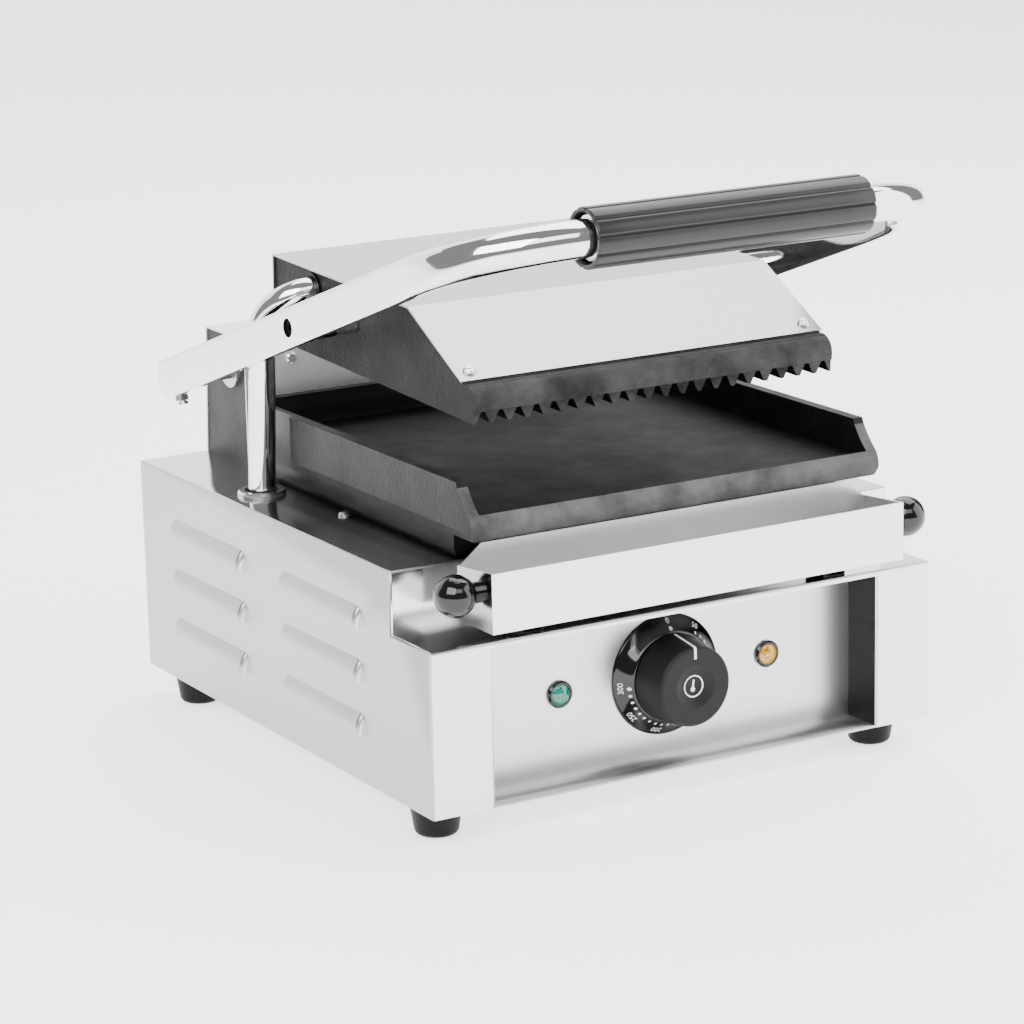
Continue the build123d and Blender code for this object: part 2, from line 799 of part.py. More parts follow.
def arm():
    """A flattened tube that runs back to the shaft, drawn round where it sweeps to the grip."""
    bend_start = handle_bend - handle_reach
    rear = RectangleRounded(arm_thickness, 2 * arm_rear_half_height, arm_edge_round)
    front = RectangleRounded(arm_thickness, 2 * arm_front_half_height, arm_edge_round)
    tube = arm_section(bend_start, Circle(handle_tube_radius))
    solid = loft([arm_section(arm_rear_length, rear), arm_section(-arm_flat_length, front), tube], ruled=True)
    keep = slab(
        [(arm_rear_length, -arm_rear_half_height), (arm_rear_length, arm_rear_half_height),
         (-handle_reach, handle_bend), (-handle_reach, -handle_bend)], -arm_outer_x - 1, -arm_inner_x + 1,
    )
    keep = fillet([e for e in keep.edges().filter_by(Axis.X) if e.center().Y > 0], arm_end_round)
    tube_half = 2 * handle_tube_radius
    solid &= keep + block(
        -arm_outer_x - tube_half, -arm_inner_x + tube_half, -handle_reach, -arm_flat_length,
        -tube_half, tube_half,
    )
    centre_x = handle_bend - arm_middle_x
    diagonal = handle_bend * math.sqrt(0.5)
    sweep_path = ThreePointArc(
        (-arm_middle_x, bend_start, 0),
        (centre_x - diagonal, bend_start - diagonal, 0),
        (centre_x, -handle_reach, 0),
    )
    solid += sweep(tube, path=sweep_path)
    end_x = arm_in_grip - grip_length / 2
    solid += rod_x(handle_tube_radius, centre_x, end_x, -handle_reach, 0)
    solid -= rod_x(shaft_radius, -arm_inner_x - shaft_in_arm, 0, 0, 0)
    solid -= rod_z(clamp_screw_radius, -arm_rear_half_height - 1, 0, -arm_middle_x, 0)
    solid -= rod_x(hanger_bolt_radius, -arm_outer_x - 1, -arm_inner_x + 1, -hanger_reach, 0)
    head_seat = arm_outer_x - hanger_head_sunk - hanger_head_height
    solid -= rod_x(hanger_head_radius, -arm_outer_x - 1, -head_seat, -hanger_reach, 0)
    return solid


def handle_rod():
    """The stretch of tube that joins both arms inside the grip."""
    end = grip_length / 2 - arm_in_grip
    return rod_x(handle_tube_radius, -end, end, -handle_reach, 0)


def grip():
    """A fluted sleeve with a recess in each end round the tube."""
    outline = Circle(grip_radius)
    flute_at = grip_radius + grip_flute_radius - grip_flute_depth
    for index in range(grip_flutes):
        outline -= Rot(0, 0, index * 360 / grip_flutes) * Pos(flute_at, 0) * Circle(grip_flute_radius)
    body = extrude(outline, amount=grip_length / 2, both=True)
    body -= Cylinder(handle_tube_radius, grip_length + 2)
    for sign in (-1, 1):
        recess = Cylinder(grip_recess_radius, grip_recess_depth)
        body -= Pos(0, 0, sign * (grip_length - grip_recess_depth) / 2) * recess
    return Pos(0, -handle_reach, 0) * Rot(0, 90, 0) * body


def ferrule():
    """A plain ring on the tube, against the bottom of the grip's end recess."""
    inner_end = grip_length / 2 - grip_recess_depth
    solid = rod_x(ferrule_radius, -inner_end - ferrule_length, -inner_end, -handle_reach, 0)
    return solid - rod_x(handle_tube_radius, -grip_length, 0, -handle_reach, 0)


def hinge_shaft():
    end = arm_inner_x + shaft_in_arm
    return rod_x(shaft_radius, -end, end, 0, 0)


def clamp_screw():
    """The set screw under an arm's rear end, its point on the shaft."""
    bottom = -arm_rear_half_height - clamp_screw_below
    solid = rod_z(clamp_screw_radius, bottom, -shaft_radius - fit_gap, -arm_middle_x, 0)
    head = rod_z(1.5 * clamp_screw_radius, bottom, bottom + clamp_head_height, -arm_middle_x, 0)
    return solid + head


def clamp_nut():
    top = -arm_rear_half_height
    solid = hexagon_z(clamp_nut_across, top - clamp_nut_height, top, -arm_middle_x, 0)
    return solid - rod_z(clamp_screw_radius, top - clamp_nut_height - 1, top + 1, -arm_middle_x, 0)


def hanger_bolt():
    """A sunk-head bolt from the arm, through its spacer, to the upper plate's cheek."""
    seat = arm_outer_x - hanger_head_sunk - hanger_head_height
    tip = upper_half_width - upper_cheek - hanger_boss_depth - 8
    solid = rod_x(hanger_bolt_radius, -seat, -tip, -hanger_reach, 0)
    head = rod_x(hanger_head_radius, -seat - hanger_head_height, -seat, -hanger_reach, 0)
    socket = Pos(-seat - hanger_head_height, -hanger_reach, 0) * Rot(0, 90, 0)
    socket *= extrude(RegularPolygon(2.6, 6), amount=1.5)
    return solid + head - socket


def hanger_spacer():
    outer = arm_inner_x
    inner = upper_half_width + side_gap
    solid = rod_x(hanger_spacer_radius, -outer, -inner, -hanger_reach, 0)
    return solid - rod_x(hanger_bolt_radius, -outer - 1, 0, -hanger_reach, 0)


def hanger_nut():
    face = upper_half_width - upper_cheek - hanger_boss_depth - side_gap
    outline = RegularPolygon(1.6 * hanger_bolt_radius, 6)
    solid = Pos(-face, -hanger_reach, 0) * Rot(0, 90, 0) * extrude(outline, amount=nut_height)
    return solid - rod_x(hanger_bolt_radius, -face - 1, 0, -hanger_reach, 0)


# ---- upper plate, cover and heater, in their own level frame ----
def on_slope(distance, depth=0.0):
    """A (y, z) point on the cover's front slope, so far up it and so far under its surface."""
    y = -cover_front + distance * math.cos(cover_slope) + depth * math.sin(cover_slope)
    z = -upper_lip_rise + distance * math.sin(cover_slope) - depth * math.cos(cover_slope)
    return y, z


def upper_plate():
    """An open cast box: ribbed floor, high cheeks under the cover's slope and a round nose."""
    foot_y, foot_z = on_slope(0, cover_sheet)
    fold_z = cover_top - cover_sheet
    fold_y = foot_y + (fold_z - foot_z) / math.tan(cover_slope)
    nose = ThreePointArc(
        (-upper_front, rib_line + 2),
        (-upper_front + 0.22 * upper_lip_nose, foot_z - 0.42 * upper_lip_nose),
        (-cover_front, foot_z - cover_sheet / 2),
    )
    rest = Polyline(
        (-cover_front, foot_z - cover_sheet / 2), (foot_y, foot_z), (fold_y, fold_z),
        (upper_rear, fold_z), (upper_rear, rib_line), (-upper_front, rib_line),
        (-upper_front, rib_line + 2),
    )
    face = Plane.YZ * make_face([nose, rest])
    w = upper_half_width
    solid = Pos(-w, 0, 0) * extrude(face, amount=2 * w, dir=(1, 0, 0))
    inner = w - upper_cheek
    well_front = -cover_front + upper_cheek / 2
    solid -= block(-inner, inner, well_front, upper_rear - upper_cheek, upper_floor, cover_top + 1)
    for piece in both_sides(rod_x(hanger_boss_radius, inner - hanger_boss_depth, inner, 0, 0)):
        solid += piece
    boss_y = on_slope(cover_screw_up, cover_sheet)[0]
    boss_far = boss_y + 2 * screw_shank
    corner = block(inner - cover_boss_width, inner, well_front, boss_far, upper_floor, cover_top)
    under_slope = slab(
        [on_slope(0, cover_sheet), on_slope(cover_fold, cover_sheet),
         (on_slope(cover_fold)[0], rib_line), (on_slope(0)[0], rib_line)], -w, w
    )
    for piece in both_sides(corner & under_slope):
        solid += piece
    for index in range(1, rib_spaces):
        solid += rib(index * rib_pitch - w)
    edge_ribs = [rib(-w), rib(w)]
    for piece in edge_ribs:
        solid += piece & block(-w, w, -upper_front, upper_rear, -2 * upper_face_below, rib_line + 1)
    bore = hanger_bolt_radius + running_gap
    solid -= rod_x(bore, -w - 1, w + 1, 0, 0)
    solid -= rod_x(grommet_neck, -w - 1, -inner + 1, tube_swivel_back, tube_swivel_up)
    for place in cover_screw_places():
        solid -= place * rod_z(screw_shank_radius, -screw_shank - cover_sheet, 1, 0, 0)
    return solid


def rib(x):
    """One cooking ridge: a long bar of tapered section, its front end raked."""
    top, tip = rib_line, -upper_face_below
    half_base, half_tip = rib_base / 2, rib_tip / 2
    section = Plane.XZ * make_face(Polyline(
        (x - half_base, top), (x - half_tip, tip), (x + half_tip, tip), (x + half_base, top), close=True
    ))
    bar = Pos(0, upper_rear - 2, 0) * extrude(section, amount=upper_rear - 2 + upper_front - 1, dir=(0, -1, 0))
    return bar


def cover_screw_places():
    """Frames on the cover's surface, Z outward: two on the slope, two on the rear flap."""
    y, z = on_slope(cover_screw_up)
    slope = math.degrees(cover_slope)
    rear_z = (cover_top - cover_flap_rear) / 2
    places = []
    for x in (-cover_screw_x, cover_screw_x):
        places.append(Pos(x, y, z) * Rot(slope, 0, 0))
        places.append(Pos(x, cover_rear, rear_z) * Rot(-90, 0, 0))
    return places


def upper_cover():
    """One folded sheet: front slope, flat top and rear flap, just wider than the casting."""
    t = cover_sheet
    foot_y, foot_z = on_slope(0, t)
    fold_z = cover_top - t
    fold_y = foot_y + (fold_z - foot_z) / math.tan(cover_slope)
    outline = [
        (-cover_front, -upper_lip_rise), (-cover_fold, cover_top), (cover_rear, cover_top),
        (cover_rear, -cover_flap_rear), (cover_rear - t, -cover_flap_rear),
        (cover_rear - t, fold_z), (fold_y, fold_z), (foot_y, foot_z),
    ]
    solid = slab(outline, -cover_side_x, cover_side_x)
    solid = fillet(solid.edges().filter_by(Axis.X).sort_by_distance((0, cover_rear, cover_top))[0], t)
    for place in cover_screw_places():
        solid -= place * rod_z(screw_shank_radius, -3, 1, 0, 0)
    return solid


def upper_shield():
    """The sheet laid over the upper rod, under the cover."""
    bottom = upper_floor + 2 * element_radius + 2 * fit_gap
    half = upper_half_width - upper_cheek - hanger_boss_depth - nut_height - shield_margin
    return block(
        -half, half, -upper_element_front - element_radius, upper_element_end + element_radius,
        bottom, bottom + shield_sheet,
    )


def tube_grommet():
    """A thin bush in the cheek that the tube's end turns in."""
    outer = -upper_half_width
    inner = outer + upper_cheek
    y, z = tube_swivel_back, tube_swivel_up
    solid = rod_x(grommet_flange, outer - grommet_lip, outer, y, z)
    solid += rod_x(grommet_neck, outer, inner + grommet_lip, y, z)
    solid += rod_x(grommet_flange, inner, inner + grommet_lip, y, z)
    return solid - rod_x(grommet_bore, outer - grommet_lip - 1, inner + grommet_lip + 1, y, z)


# ---- wiring tube, in its own upright frame at the swivel ----
def wiring_tube():
    """A bent tube: long leg, a double bend forward and inward, and a short end on the swivel axis."""
    out = tube_x - tube_swivel_x
    path = FilletPolyline(
        (-out, tube_leg_back, -tube_leg_length), (-out, tube_leg_back, -tube_corner_down),
        (-tube_corner_out, 0, 0), (tube_end_inside, 0, 0),
        radius=tube_bend,
    )
    start = Plane(origin=(-out, tube_leg_back, -tube_leg_length), z_dir=(0, 0, 1))
    return sweep(start * (Circle(tube_radius) - Circle(tube_bore)), path=path)


def tube_clip():
    """The ring on the tube's end that keeps it in the cheek."""
    start = tube_swivel_x - upper_half_width + upper_cheek + grommet_lip + side_gap
    solid = rod_x(clip_radius, start, start + clip_thickness, 0, 0)
    return solid - rod_x(tube_radius, start - 1, start + clip_thickness + 1, 0, 0)


def casing_gland():
    """The turned ring in the casing's top that the tube slides and rocks in."""
    solid = turned([
        (gland_bore, casing_top_inside - gland_below), (gland_neck_radius, casing_top_inside - gland_below),
        (gland_neck_radius, casing_height), (gland_outer_radius, casing_height),
        (gland_outer_radius, casing_height + 0.6 * gland_above),
        (gland_outer_radius - 1, casing_height + gland_above), (gland_bore, casing_height + gland_above),
    ])
    return Pos(-tube_x, gland_y(), 0) * solid


# ---- drip tray ----
def drip_tray():
    """An open sheet trough with a splash plate behind and two runners below."""
    w, t = tray_half_width, tray_sheet
    solid = block(-w, w, tray_front, tray_rear, tray_bottom, tray_top)
    solid -= block(t - w, w - t, tray_front + t, tray_rear - t, tray_bottom + t, tray_top + 1)
    low_rear = tray_top - tray_end_drop
    solid -= slab(
        [(tray_front + t, tray_top), (tray_rear + 1, low_rear), (tray_rear + 1, tray_top + 1),
         (tray_front + t, tray_top + 1)], -w - 1, w + 1,
    )
    splash = make_face(Polyline(
        (-w, tray_bottom), (-w, low_rear - t), (-splash_half_width, splash_top),
        (splash_half_width, splash_top), (w, low_rear - t), (w, tray_bottom), close=True,
    ))
    solid += Pos(0, tray_rear, 0) * extrude(Plane.XZ * splash, amount=t, dir=(0, -1, 0))
    runner = block(
        runner_x - runner_width / 2, runner_x + runner_width / 2,
        runner_inset, tray_rear - t, ledge_height, tray_bottom,
    )
    runner -= block(
        runner_x - runner_width / 2 + t, runner_x + runner_width / 2 - t,
        runner_inset - 1, tray_rear, ledge_height + t, tray_bottom,
    )
    for piece in both_sides(runner):
        solid += piece
    for piece in both_sides(rod_x(tray_stud_radius, w - 2, w + 1, ball_y, ball_z)):
        solid -= piece
    return solid


def tray_ball():
    """A ball handle with a short neck, bored for its stud."""
    solid = Pos(ball_x, ball_y, ball_z) * Sphere(ball_radius)
    solid += rod_x(ball_neck_radius, tray_half_width, ball_x - 5, ball_y, ball_z)
    return solid - rod_x(tray_stud_radius, tray_half_width - 1, ball_x, ball_y, ball_z)


def tray_stud():
    """The stud through the tray's end, with a thin nut inside."""
    inside = tray_half_width - tray_sheet
    solid = rod_x(tray_stud_radius, inside - 4, ball_x, ball_y, ball_z)
    outline = RegularPolygon(2 * tray_stud_radius, 6)
    nut = Pos(inside - 2.4, ball_y, ball_z) * Rot(0, 90, 0) * extrude(outline, amount=2.4)
    return solid + nut


# ---- inlet and terminals ----
def cord_inlet():
    """A screwed cord gland in the rear sheet: hexagon, domed cap and an empty bore."""
    outline = RegularPolygon(inlet_nut_across / math.sqrt(3), 6)
    solid = extrude(outline, amount=5)
    cap = turned([
        (0, 5), (inlet_radius, 5), (inlet_radius, 0.7 * inlet_length),
        (0.7 * inlet_radius, inlet_length), (0, inlet_length),
    ])
    solid += cap + rod_z(inlet_radius, -6, 0, 0, 0)
    solid -= rod_z(inlet_bore, -7, inlet_length + 1, 0, 0)
    return Pos(inlet_x, casing_depth, inlet_z) * Rot(-90, 0, 0) * solid


def terminal_block():
    """A three-way connector on the floor: one moulding, its screw wells open on top."""
    x0, y0, z0 = inlet_x - terminal_width / 2, terminal_y - terminal_depth / 2, floor_sheet
    solid = block(x0, x0 + terminal_width, y0, y0 + terminal_depth, z0, z0 + terminal_height)
    way = terminal_width / terminal_ways
    for index in range(terminal_ways):
        x = x0 + (index + 0.5) * way
        for y in (y0 + 0.28 * terminal_depth, y0 + 0.72 * terminal_depth):
            solid -= rod_z(2.2, z0 + 0.4 * terminal_height, z0 + terminal_height + 1, x, y)
        solid -= rod_y(2.4, y0 - 1, y0 + terminal_depth + 1, x, z0 + 0.35 * terminal_height)
    return solid


# ---- the whole ----
def top_screws():
    return [Pos(x, top_screw_y, casing_height) * pan_screw() for x in (-top_screw_x, top_screw_x)]


def housing_screws():
    place = Rot(90, 0, 0)
    return [
        Pos(x, housing_front, housing_screw_z) * place * pan_screw()
        for x in (-housing_screw_x, housing_screw_x)
    ]


def parts():
    made = {
        "casing": casing(),
        "control_panel": control_panel(),
        "floor_plate": floor_plate(),
        "top_screws": top_screws(),
        "dial_bezel": facing_front(0, control_height, dial_bezel()),
        "thermostat": facing_front(0, control_height, thermostat()),
        "thermostat_knob": facing_front(0, control_height, thermostat_knob()),
        "thermostat_spindle": facing_front(0, control_height, spindle()),
        "lower_plate": lower_plate(),
        "lower_heating_element": element(
            lower_element_front, lower_element_back, lower_element_end,
            lower_deck_bottom - element_radius - fit_gap,
        ),
        "lower_heat_shield": lower_shield(),
        "lower_plate_studs": [
            plate_stud(x, y) for x in (-stud_x, stud_x) for y in (stud_front_y, stud_back_y)
        ],
        "spring_housing": spring_housing(),
        "housing_screws": housing_screws(),
        "wiring_tube_gland": casing_gland(),
        "cord_inlet": cord_inlet(),
        "terminal_block": terminal_block(),
        "drip_tray": drip_tray(),
        "tray_studs": both_sides(tray_stud()),
        "handle_rod": on_handle(handle_rod()),
        "grip": on_handle(grip()),
        "grip_ferrules": [on_handle(piece) for piece in both_sides(ferrule())],
        "hinge_shaft": on_handle(hinge_shaft()),
        "clamp_screws": [on_handle(piece) for piece in both_sides(clamp_screw())],
        "clamp_nuts": [on_handle(piece) for piece in both_sides(clamp_nut())],
        "hanger_bolts": [on_handle(piece) for piece in both_sides(hanger_bolt())],
        "hanger_spacers": [on_handle(piece) for piece in both_sides(hanger_spacer())],
        "hanger_nuts": [on_handle(piece) for piece in both_sides(hanger_nut())],
        "upper_plate": on_hanger(upper_plate()),
        "upper_cover": on_hanger(upper_cover()),
        "upper_heating_element": on_hanger(element(
            -upper_element_front, upper_element_back, upper_element_end,
            upper_floor + element_radius + fit_gap,
        )),
        "upper_heat_shield": on_hanger(upper_shield()),
        "cover_screws": [on_hanger(place * pan_screw()) for place in cover_screw_places()],
        "tube_grommet": on_hanger(tube_grommet()),
        "wiring_tube": on_swivel(wiring_tube()),
        "tube_clip": on_swivel(tube_clip()),
    }
    for name, x in (("green", -lamp_spacing / 2), ("amber", lamp_spacing / 2)):
        made[f"{name}_lamp_body"] = facing_front(x, control_height, lamp_body())
        made[f"{name}_lamp_lens"] = facing_front(x, control_height, lamp_lens())
    foot_names = ("front_left", "front_right", "rear_left", "rear_right")
    for name, (x, y) in zip(foot_names, foot_places()):
        made[f"foot_{name}"] = Pos(x, y, 0) * foot()
    made["foot_screws"] = [Pos(x, y, 0) * foot_screw() for x, y in foot_places()]
    for name, pieces in (
        ("hinge_bracket", both_sides(hinge_bracket())),
        ("hinge_bush", both_sides(hinge_bush())),
        ("balance_spring", both_sides(balance_spring())),
        ("spring_collar", both_sides(spring_collar())),
        ("tray_knob", both_sides(tray_ball())),
    ):
        made[f"{name}_right"], made[f"{name}_left"] = pieces
    made["arm_left"], made["arm_right"] = (on_handle(piece) for piece in both_sides(arm()))
    return made


def write_parts():
    os.makedirs("parts", exist_ok=True)
    place = Pos(0, -origin_behind_front, foot_height)
    for name, made in parts().items():
        pieces = made if isinstance(made, list) else [made]
        solids = [place * solid for piece in pieces for solid in piece.solids()]
        shape = solids[0] if len(solids) == 1 else Compound(children=solids)
        export_step(shape, f"parts/{name}.step")
    swivel_y, swivel_z = swivel_point()
    print("pivot", pivot_y - origin_behind_front, pivot_z + foot_height)
    print("hanger", hanger_y - origin_behind_front, hanger_z + foot_height)
    print("swivel", swivel_y - origin_behind_front, swivel_z + foot_height)


write_parts()
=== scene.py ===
import json
import math

import bmesh
import bpy
import numpy as np
from mathutils import Matrix, Vector

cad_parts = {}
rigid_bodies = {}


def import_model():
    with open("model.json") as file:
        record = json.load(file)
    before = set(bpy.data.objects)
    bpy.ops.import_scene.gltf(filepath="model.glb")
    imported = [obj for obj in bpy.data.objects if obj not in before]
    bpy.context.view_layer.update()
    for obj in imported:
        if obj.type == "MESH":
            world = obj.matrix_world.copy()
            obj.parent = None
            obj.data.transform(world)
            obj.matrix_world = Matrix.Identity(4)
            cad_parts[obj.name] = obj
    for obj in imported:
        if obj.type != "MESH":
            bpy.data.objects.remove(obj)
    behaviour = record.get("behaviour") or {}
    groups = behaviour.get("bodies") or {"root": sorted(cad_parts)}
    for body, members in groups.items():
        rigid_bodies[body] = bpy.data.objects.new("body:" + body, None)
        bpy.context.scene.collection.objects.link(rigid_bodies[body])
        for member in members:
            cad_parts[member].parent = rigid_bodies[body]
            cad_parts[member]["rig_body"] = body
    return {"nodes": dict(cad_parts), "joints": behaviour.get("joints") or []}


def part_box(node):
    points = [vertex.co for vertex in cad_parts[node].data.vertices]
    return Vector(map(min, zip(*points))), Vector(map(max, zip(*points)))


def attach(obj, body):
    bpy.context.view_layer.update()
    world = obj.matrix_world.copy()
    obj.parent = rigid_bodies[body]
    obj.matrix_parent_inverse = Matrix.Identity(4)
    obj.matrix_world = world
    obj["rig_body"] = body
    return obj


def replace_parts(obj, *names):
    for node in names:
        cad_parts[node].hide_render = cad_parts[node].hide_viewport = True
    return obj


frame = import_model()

MM = 0.001
TURN = 2 * np.pi

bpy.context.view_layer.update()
nodes = frame["nodes"]
joints = {j["name"]: j for j in frame["joints"]}


def box_corners(node):
    """A node's lowest and highest corners at rest."""
    low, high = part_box(node)
    return np.array(low), np.array(high)


# ---- places read from the frame, in metres ----
pivot = np.array(joints["handle_lift"]["pos_m"])
hanger = np.array(joints["plate_tilt"]["pos_m"])
swivel = np.array(joints["conduit_swivel"]["pos_m"])
casing_low, casing_high = box_corners("casing")
bezel_low, bezel_high = box_corners("dial_bezel")
dial = np.array([0.0, bezel_high[1], (bezel_low[2] + bezel_high[2]) / 2])

# ---- sizes, in metres ----
same_point = 1e-6
same_cad_point = 2e-6
arm_middle_x = 145 * MM
arm_thickness = 6 * MM
arm_rear_length = 22 * MM
arm_rear_half = 11.3 * MM
arm_front_half = 10.1 * MM
arm_flat_length = 278 * MM
arm_end_round = 8 * MM
arm_round_from = 268 * MM
arm_round_bend = math.radians(52)
arm_tail_in_grip = 20 * MM
flat_power, round_power, rounding_pace = 8, 2, 0.55
bolt_seat_radius, bolt_seat_depth = 5.1 * MM, 3.5 * MM
handle_reach = 358.4 * MM
handle_bend = 65.5 * MM
handle_tube_radius = 9.7 * MM
grip_half_length = 82.5 * MM
arm_angle = math.asin((hanger[2] - pivot[2]) / np.linalg.norm(hanger - pivot))


# ---- mesh making ----
def add_object(name, data):
    """A new object in the scene that shows the given data."""
    obj = bpy.data.objects.new(name, data)
    bpy.context.scene.collection.objects.link(obj)
    return obj


def new_mesh(name, points, faces):
    """Points and faces as a mesh whose equal points are joined and whose faces look outwards."""
    mesh = bpy.data.meshes.new(name)
    mesh.from_pydata(np.asarray(points, float).tolist(), [], [tuple(map(int, f)) for f in faces])
    mesh.validate()
    work = bmesh.new()
    work.from_mesh(mesh)
    bmesh.ops.remove_doubles(work, verts=work.verts, dist=same_point)
    bmesh.ops.recalc_face_normals(work, faces=work.faces)
    work.to_mesh(mesh)
    work.free()
    return mesh


def put_mesh(name, points, faces, body, finish, smooth_angle):
    """Points and faces as one object on a body, with edges sharp above the given angle in degrees."""
    mesh = new_mesh(name, points, faces)
    mesh.shade_smooth()
    mesh.set_sharp_from_angle(angle=math.radians(smooth_angle))
    obj = add_object(name, mesh)
    mesh.materials.append(finish)
    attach(obj, body)
    return obj


def grid_faces(rows, columns, closed_rows=False, closed_columns=True):
    """Quads between neighbouring rows and columns of a point grid, wrapped where it is closed."""
    last_row = rows if closed_rows else rows - 1
    last_column = columns if closed_columns else columns - 1
    i, j = np.meshgrid(np.arange(last_row), np.arange(last_column), indexing="ij")
    up, right = (i + 1) % rows, (j + 1) % columns
    quads = [i * columns + j, i * columns + right, up * columns + right, up * columns + j]
    return np.stack(quads, -1).reshape(-1, 4)


def lathe(profile, origin, axis, across, steps=96, closed=False):
    """Each (radius, height) of the profile is carried once round the axis: point = origin +
    height * axis + radius * (cos a * across + sin a * third), with a running from 0 to a full turn.
    A closed profile joins its last ring back to its first."""
    axis, across = np.asarray(axis, float), np.asarray(across, float)
    third = np.cross(axis, across)
    profile = np.asarray(profile, float)
    angle = np.linspace(0, TURN, steps, endpoint=False)[None, :, None]
    radius, height = profile[:, 0][:, None, None], profile[:, 1][:, None, None]
    points = origin + height * axis + radius * (np.cos(angle) * across + np.sin(angle) * third)
    return points.reshape(-1, 3), grid_faces(len(profile), steps, closed_rows=closed)


def arc_points(centre, radius, start, end, count):
    """Points of a circular arc in the (radius, height) plane, angles in degrees."""
    angle = np.radians(np.linspace(start, end, count))
    return np.stack([centre[0] + radius * np.cos(angle), centre[1] + radius * np.sin(angle)], -1)


def carried(centres, forward, side, widths, heights, powers, steps=64):
    """A superellipse section carried along a path. Round each section the point is centre +
    width * sign(cos a) |cos a|^(2/p) * side + height * sign(sin a) |sin a|^(2/p) * up, where p falls to
    2 for a circle and rises for a flat-sided section, and up = forward x side."""
    up = np.cross(forward, side)
    angle = np.linspace(0, TURN, steps, endpoint=False)[None, :]
    exponent = 2 / np.asarray(powers, float)[:, None]
    share_across = np.sign(np.cos(angle)) * np.abs(np.cos(angle)) ** exponent
    share_up = np.sign(np.sin(angle)) * np.abs(np.sin(angle)) ** exponent
    wide = (np.asarray(widths)[:, None] * share_across)[..., None] * side[:, None, :]
    high = (np.asarray(heights)[:, None] * share_up)[..., None] * up[:, None, :]
    points = centres[:, None, :] + wide + high
    rows = len(centres)
    faces = [tuple(f) for f in grid_faces(rows, steps)]
    faces.append(tuple(range(steps))[::-1])
    faces.append(tuple(range((rows - 1) * steps, rows * steps)))
    return points.reshape(-1, 3), faces


def tidy_copy(node, parts=()):
    """A CAD node's solids, joined up and shaded smooth between near-level faces, in its place. Each
    of the parts is a test of a face's middle and normal, and the finish of the faces that pass it."""
    level_angle, smooth_angle = math.radians(0.4), math.radians(28)
    source = nodes[node]
    mesh = source.data.copy()
    work = bmesh.new()
    work.from_mesh(mesh)
    bmesh.ops.remove_doubles(work, verts=work.verts, dist=same_cad_point)
    bmesh.ops.dissolve_limit(
        work, angle_limit=level_angle, verts=work.verts, edges=work.edges, delimit={"NORMAL"}
    )
    work.to_mesh(mesh)
    work.free()
    mesh.shade_smooth()
    mesh.set_sharp_from_angle(angle=smooth_angle)
    obj = add_object(f"{node}_finished", mesh)
    mesh.materials.clear()
    mesh.materials.append(cad_finish(node))
    for index, (test, part_finish) in enumerate(parts, 1):
        mesh.materials.append(part_finish)
        for face in mesh.polygons:
            if test(face.center, face.normal):
                face.material_index = index
    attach(obj, source["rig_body"])
    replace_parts(obj, node)


# ---- material making ----
def new_material(name):
    """An empty node material, its tree and its shader."""
    material = bpy.data.materials.new(name)
    material.use_nodes = True
    return material, material.node_tree, material.node_tree.nodes["Principled BSDF"]


def add(tree, kind, **values):
    """A node with its properties or input sockets set by name."""
    node = tree.nodes.new(kind)
    for key, value in values.items():
        if key.title() in node.inputs:
            node.inputs[key.title()].default_value = value
        else:
            setattr(node, key, value)
    return node


def object_pattern(tree, stretch):
    """Object coordinates, scaled alike or apart along X, Y and Z."""
    place = add(tree, "ShaderNodeTexCoord")
    mapping = add(tree, "ShaderNodeMapping")
    mapping.inputs["Scale"].default_value = (stretch,) * 3 if np.isscalar(stretch) else stretch
    tree.links.new(place.outputs["Object"], mapping.inputs["Vector"])
    return mapping.outputs["Vector"]


def noise(tree, vector, detail=3.0, roughness=0.5):
    """Noise at the scale of its vector."""
    node = add(tree, "ShaderNodeTexNoise", scale=1.0, detail=detail, roughness=roughness)
    tree.links.new(vector, node.inputs["Vector"])
    return node.outputs["Fac"]


def ramp(tree, value, stops):
    """A colour ramp through (place, grey or colour) stops."""
    node = add(tree, "ShaderNodeValToRGB")
    elements = node.color_ramp.elements
    while len(elements) < len(stops):
        elements.new(0.5)
    for element, (place, colour) in zip(elements, stops):
        element.position = place
        rgb = (colour, colour, colour) if np.isscalar(colour) else tuple(colour)
        element.color = (*rgb, 1.0)
    tree.links.new(value, node.inputs["Fac"])
    return node.outputs["Color"]


def spread(tree, value, low, high):
    """The value from 0 to 1, spread from low to high."""
    node = add(tree, "ShaderNodeMapRange")
    node.inputs["To Min"].default_value = low
    node.inputs["To Max"].default_value = high
    tree.links.new(value, node.inputs["Value"])
    return node.outputs["Result"]


def bump(tree, shader, height, strength, distance):
    """The height as fine relief on the shader's normal."""
    node = add(tree, "ShaderNodeBump")
    node.inputs["Strength"].default_value = strength
    node.inputs["Distance"].default_value = distance
    tree.links.new(height, node.inputs["Height"])
    tree.links.new(node.outputs["Normal"], shader.inputs["Normal"])


def brushed_steel(name, grey, stretch, roughness=0.32, grain=0.05):
    """Sheet steel with a fine grain drawn out along the axes whose stretch is least."""
    material, tree, shader = new_material(name)
    vector = object_pattern(tree, stretch)
    fine = noise(tree, vector, detail=4.0, roughness=0.65)
    broad = noise(tree, object_pattern(tree, 6), detail=2.0)
    tone = ramp(tree, fine, [(0.3, grey - grain), (0.7, grey + grain)])
    tree.links.new(tone, shader.inputs["Base Color"])
    tree.links.new(spread(tree, broad, roughness - 0.04, roughness + 0.05), shader.inputs["Roughness"])
    shader.inputs["Metallic"].default_value = 1.0
    bump(tree, shader, fine, 0.12, 0.0002)
    return material


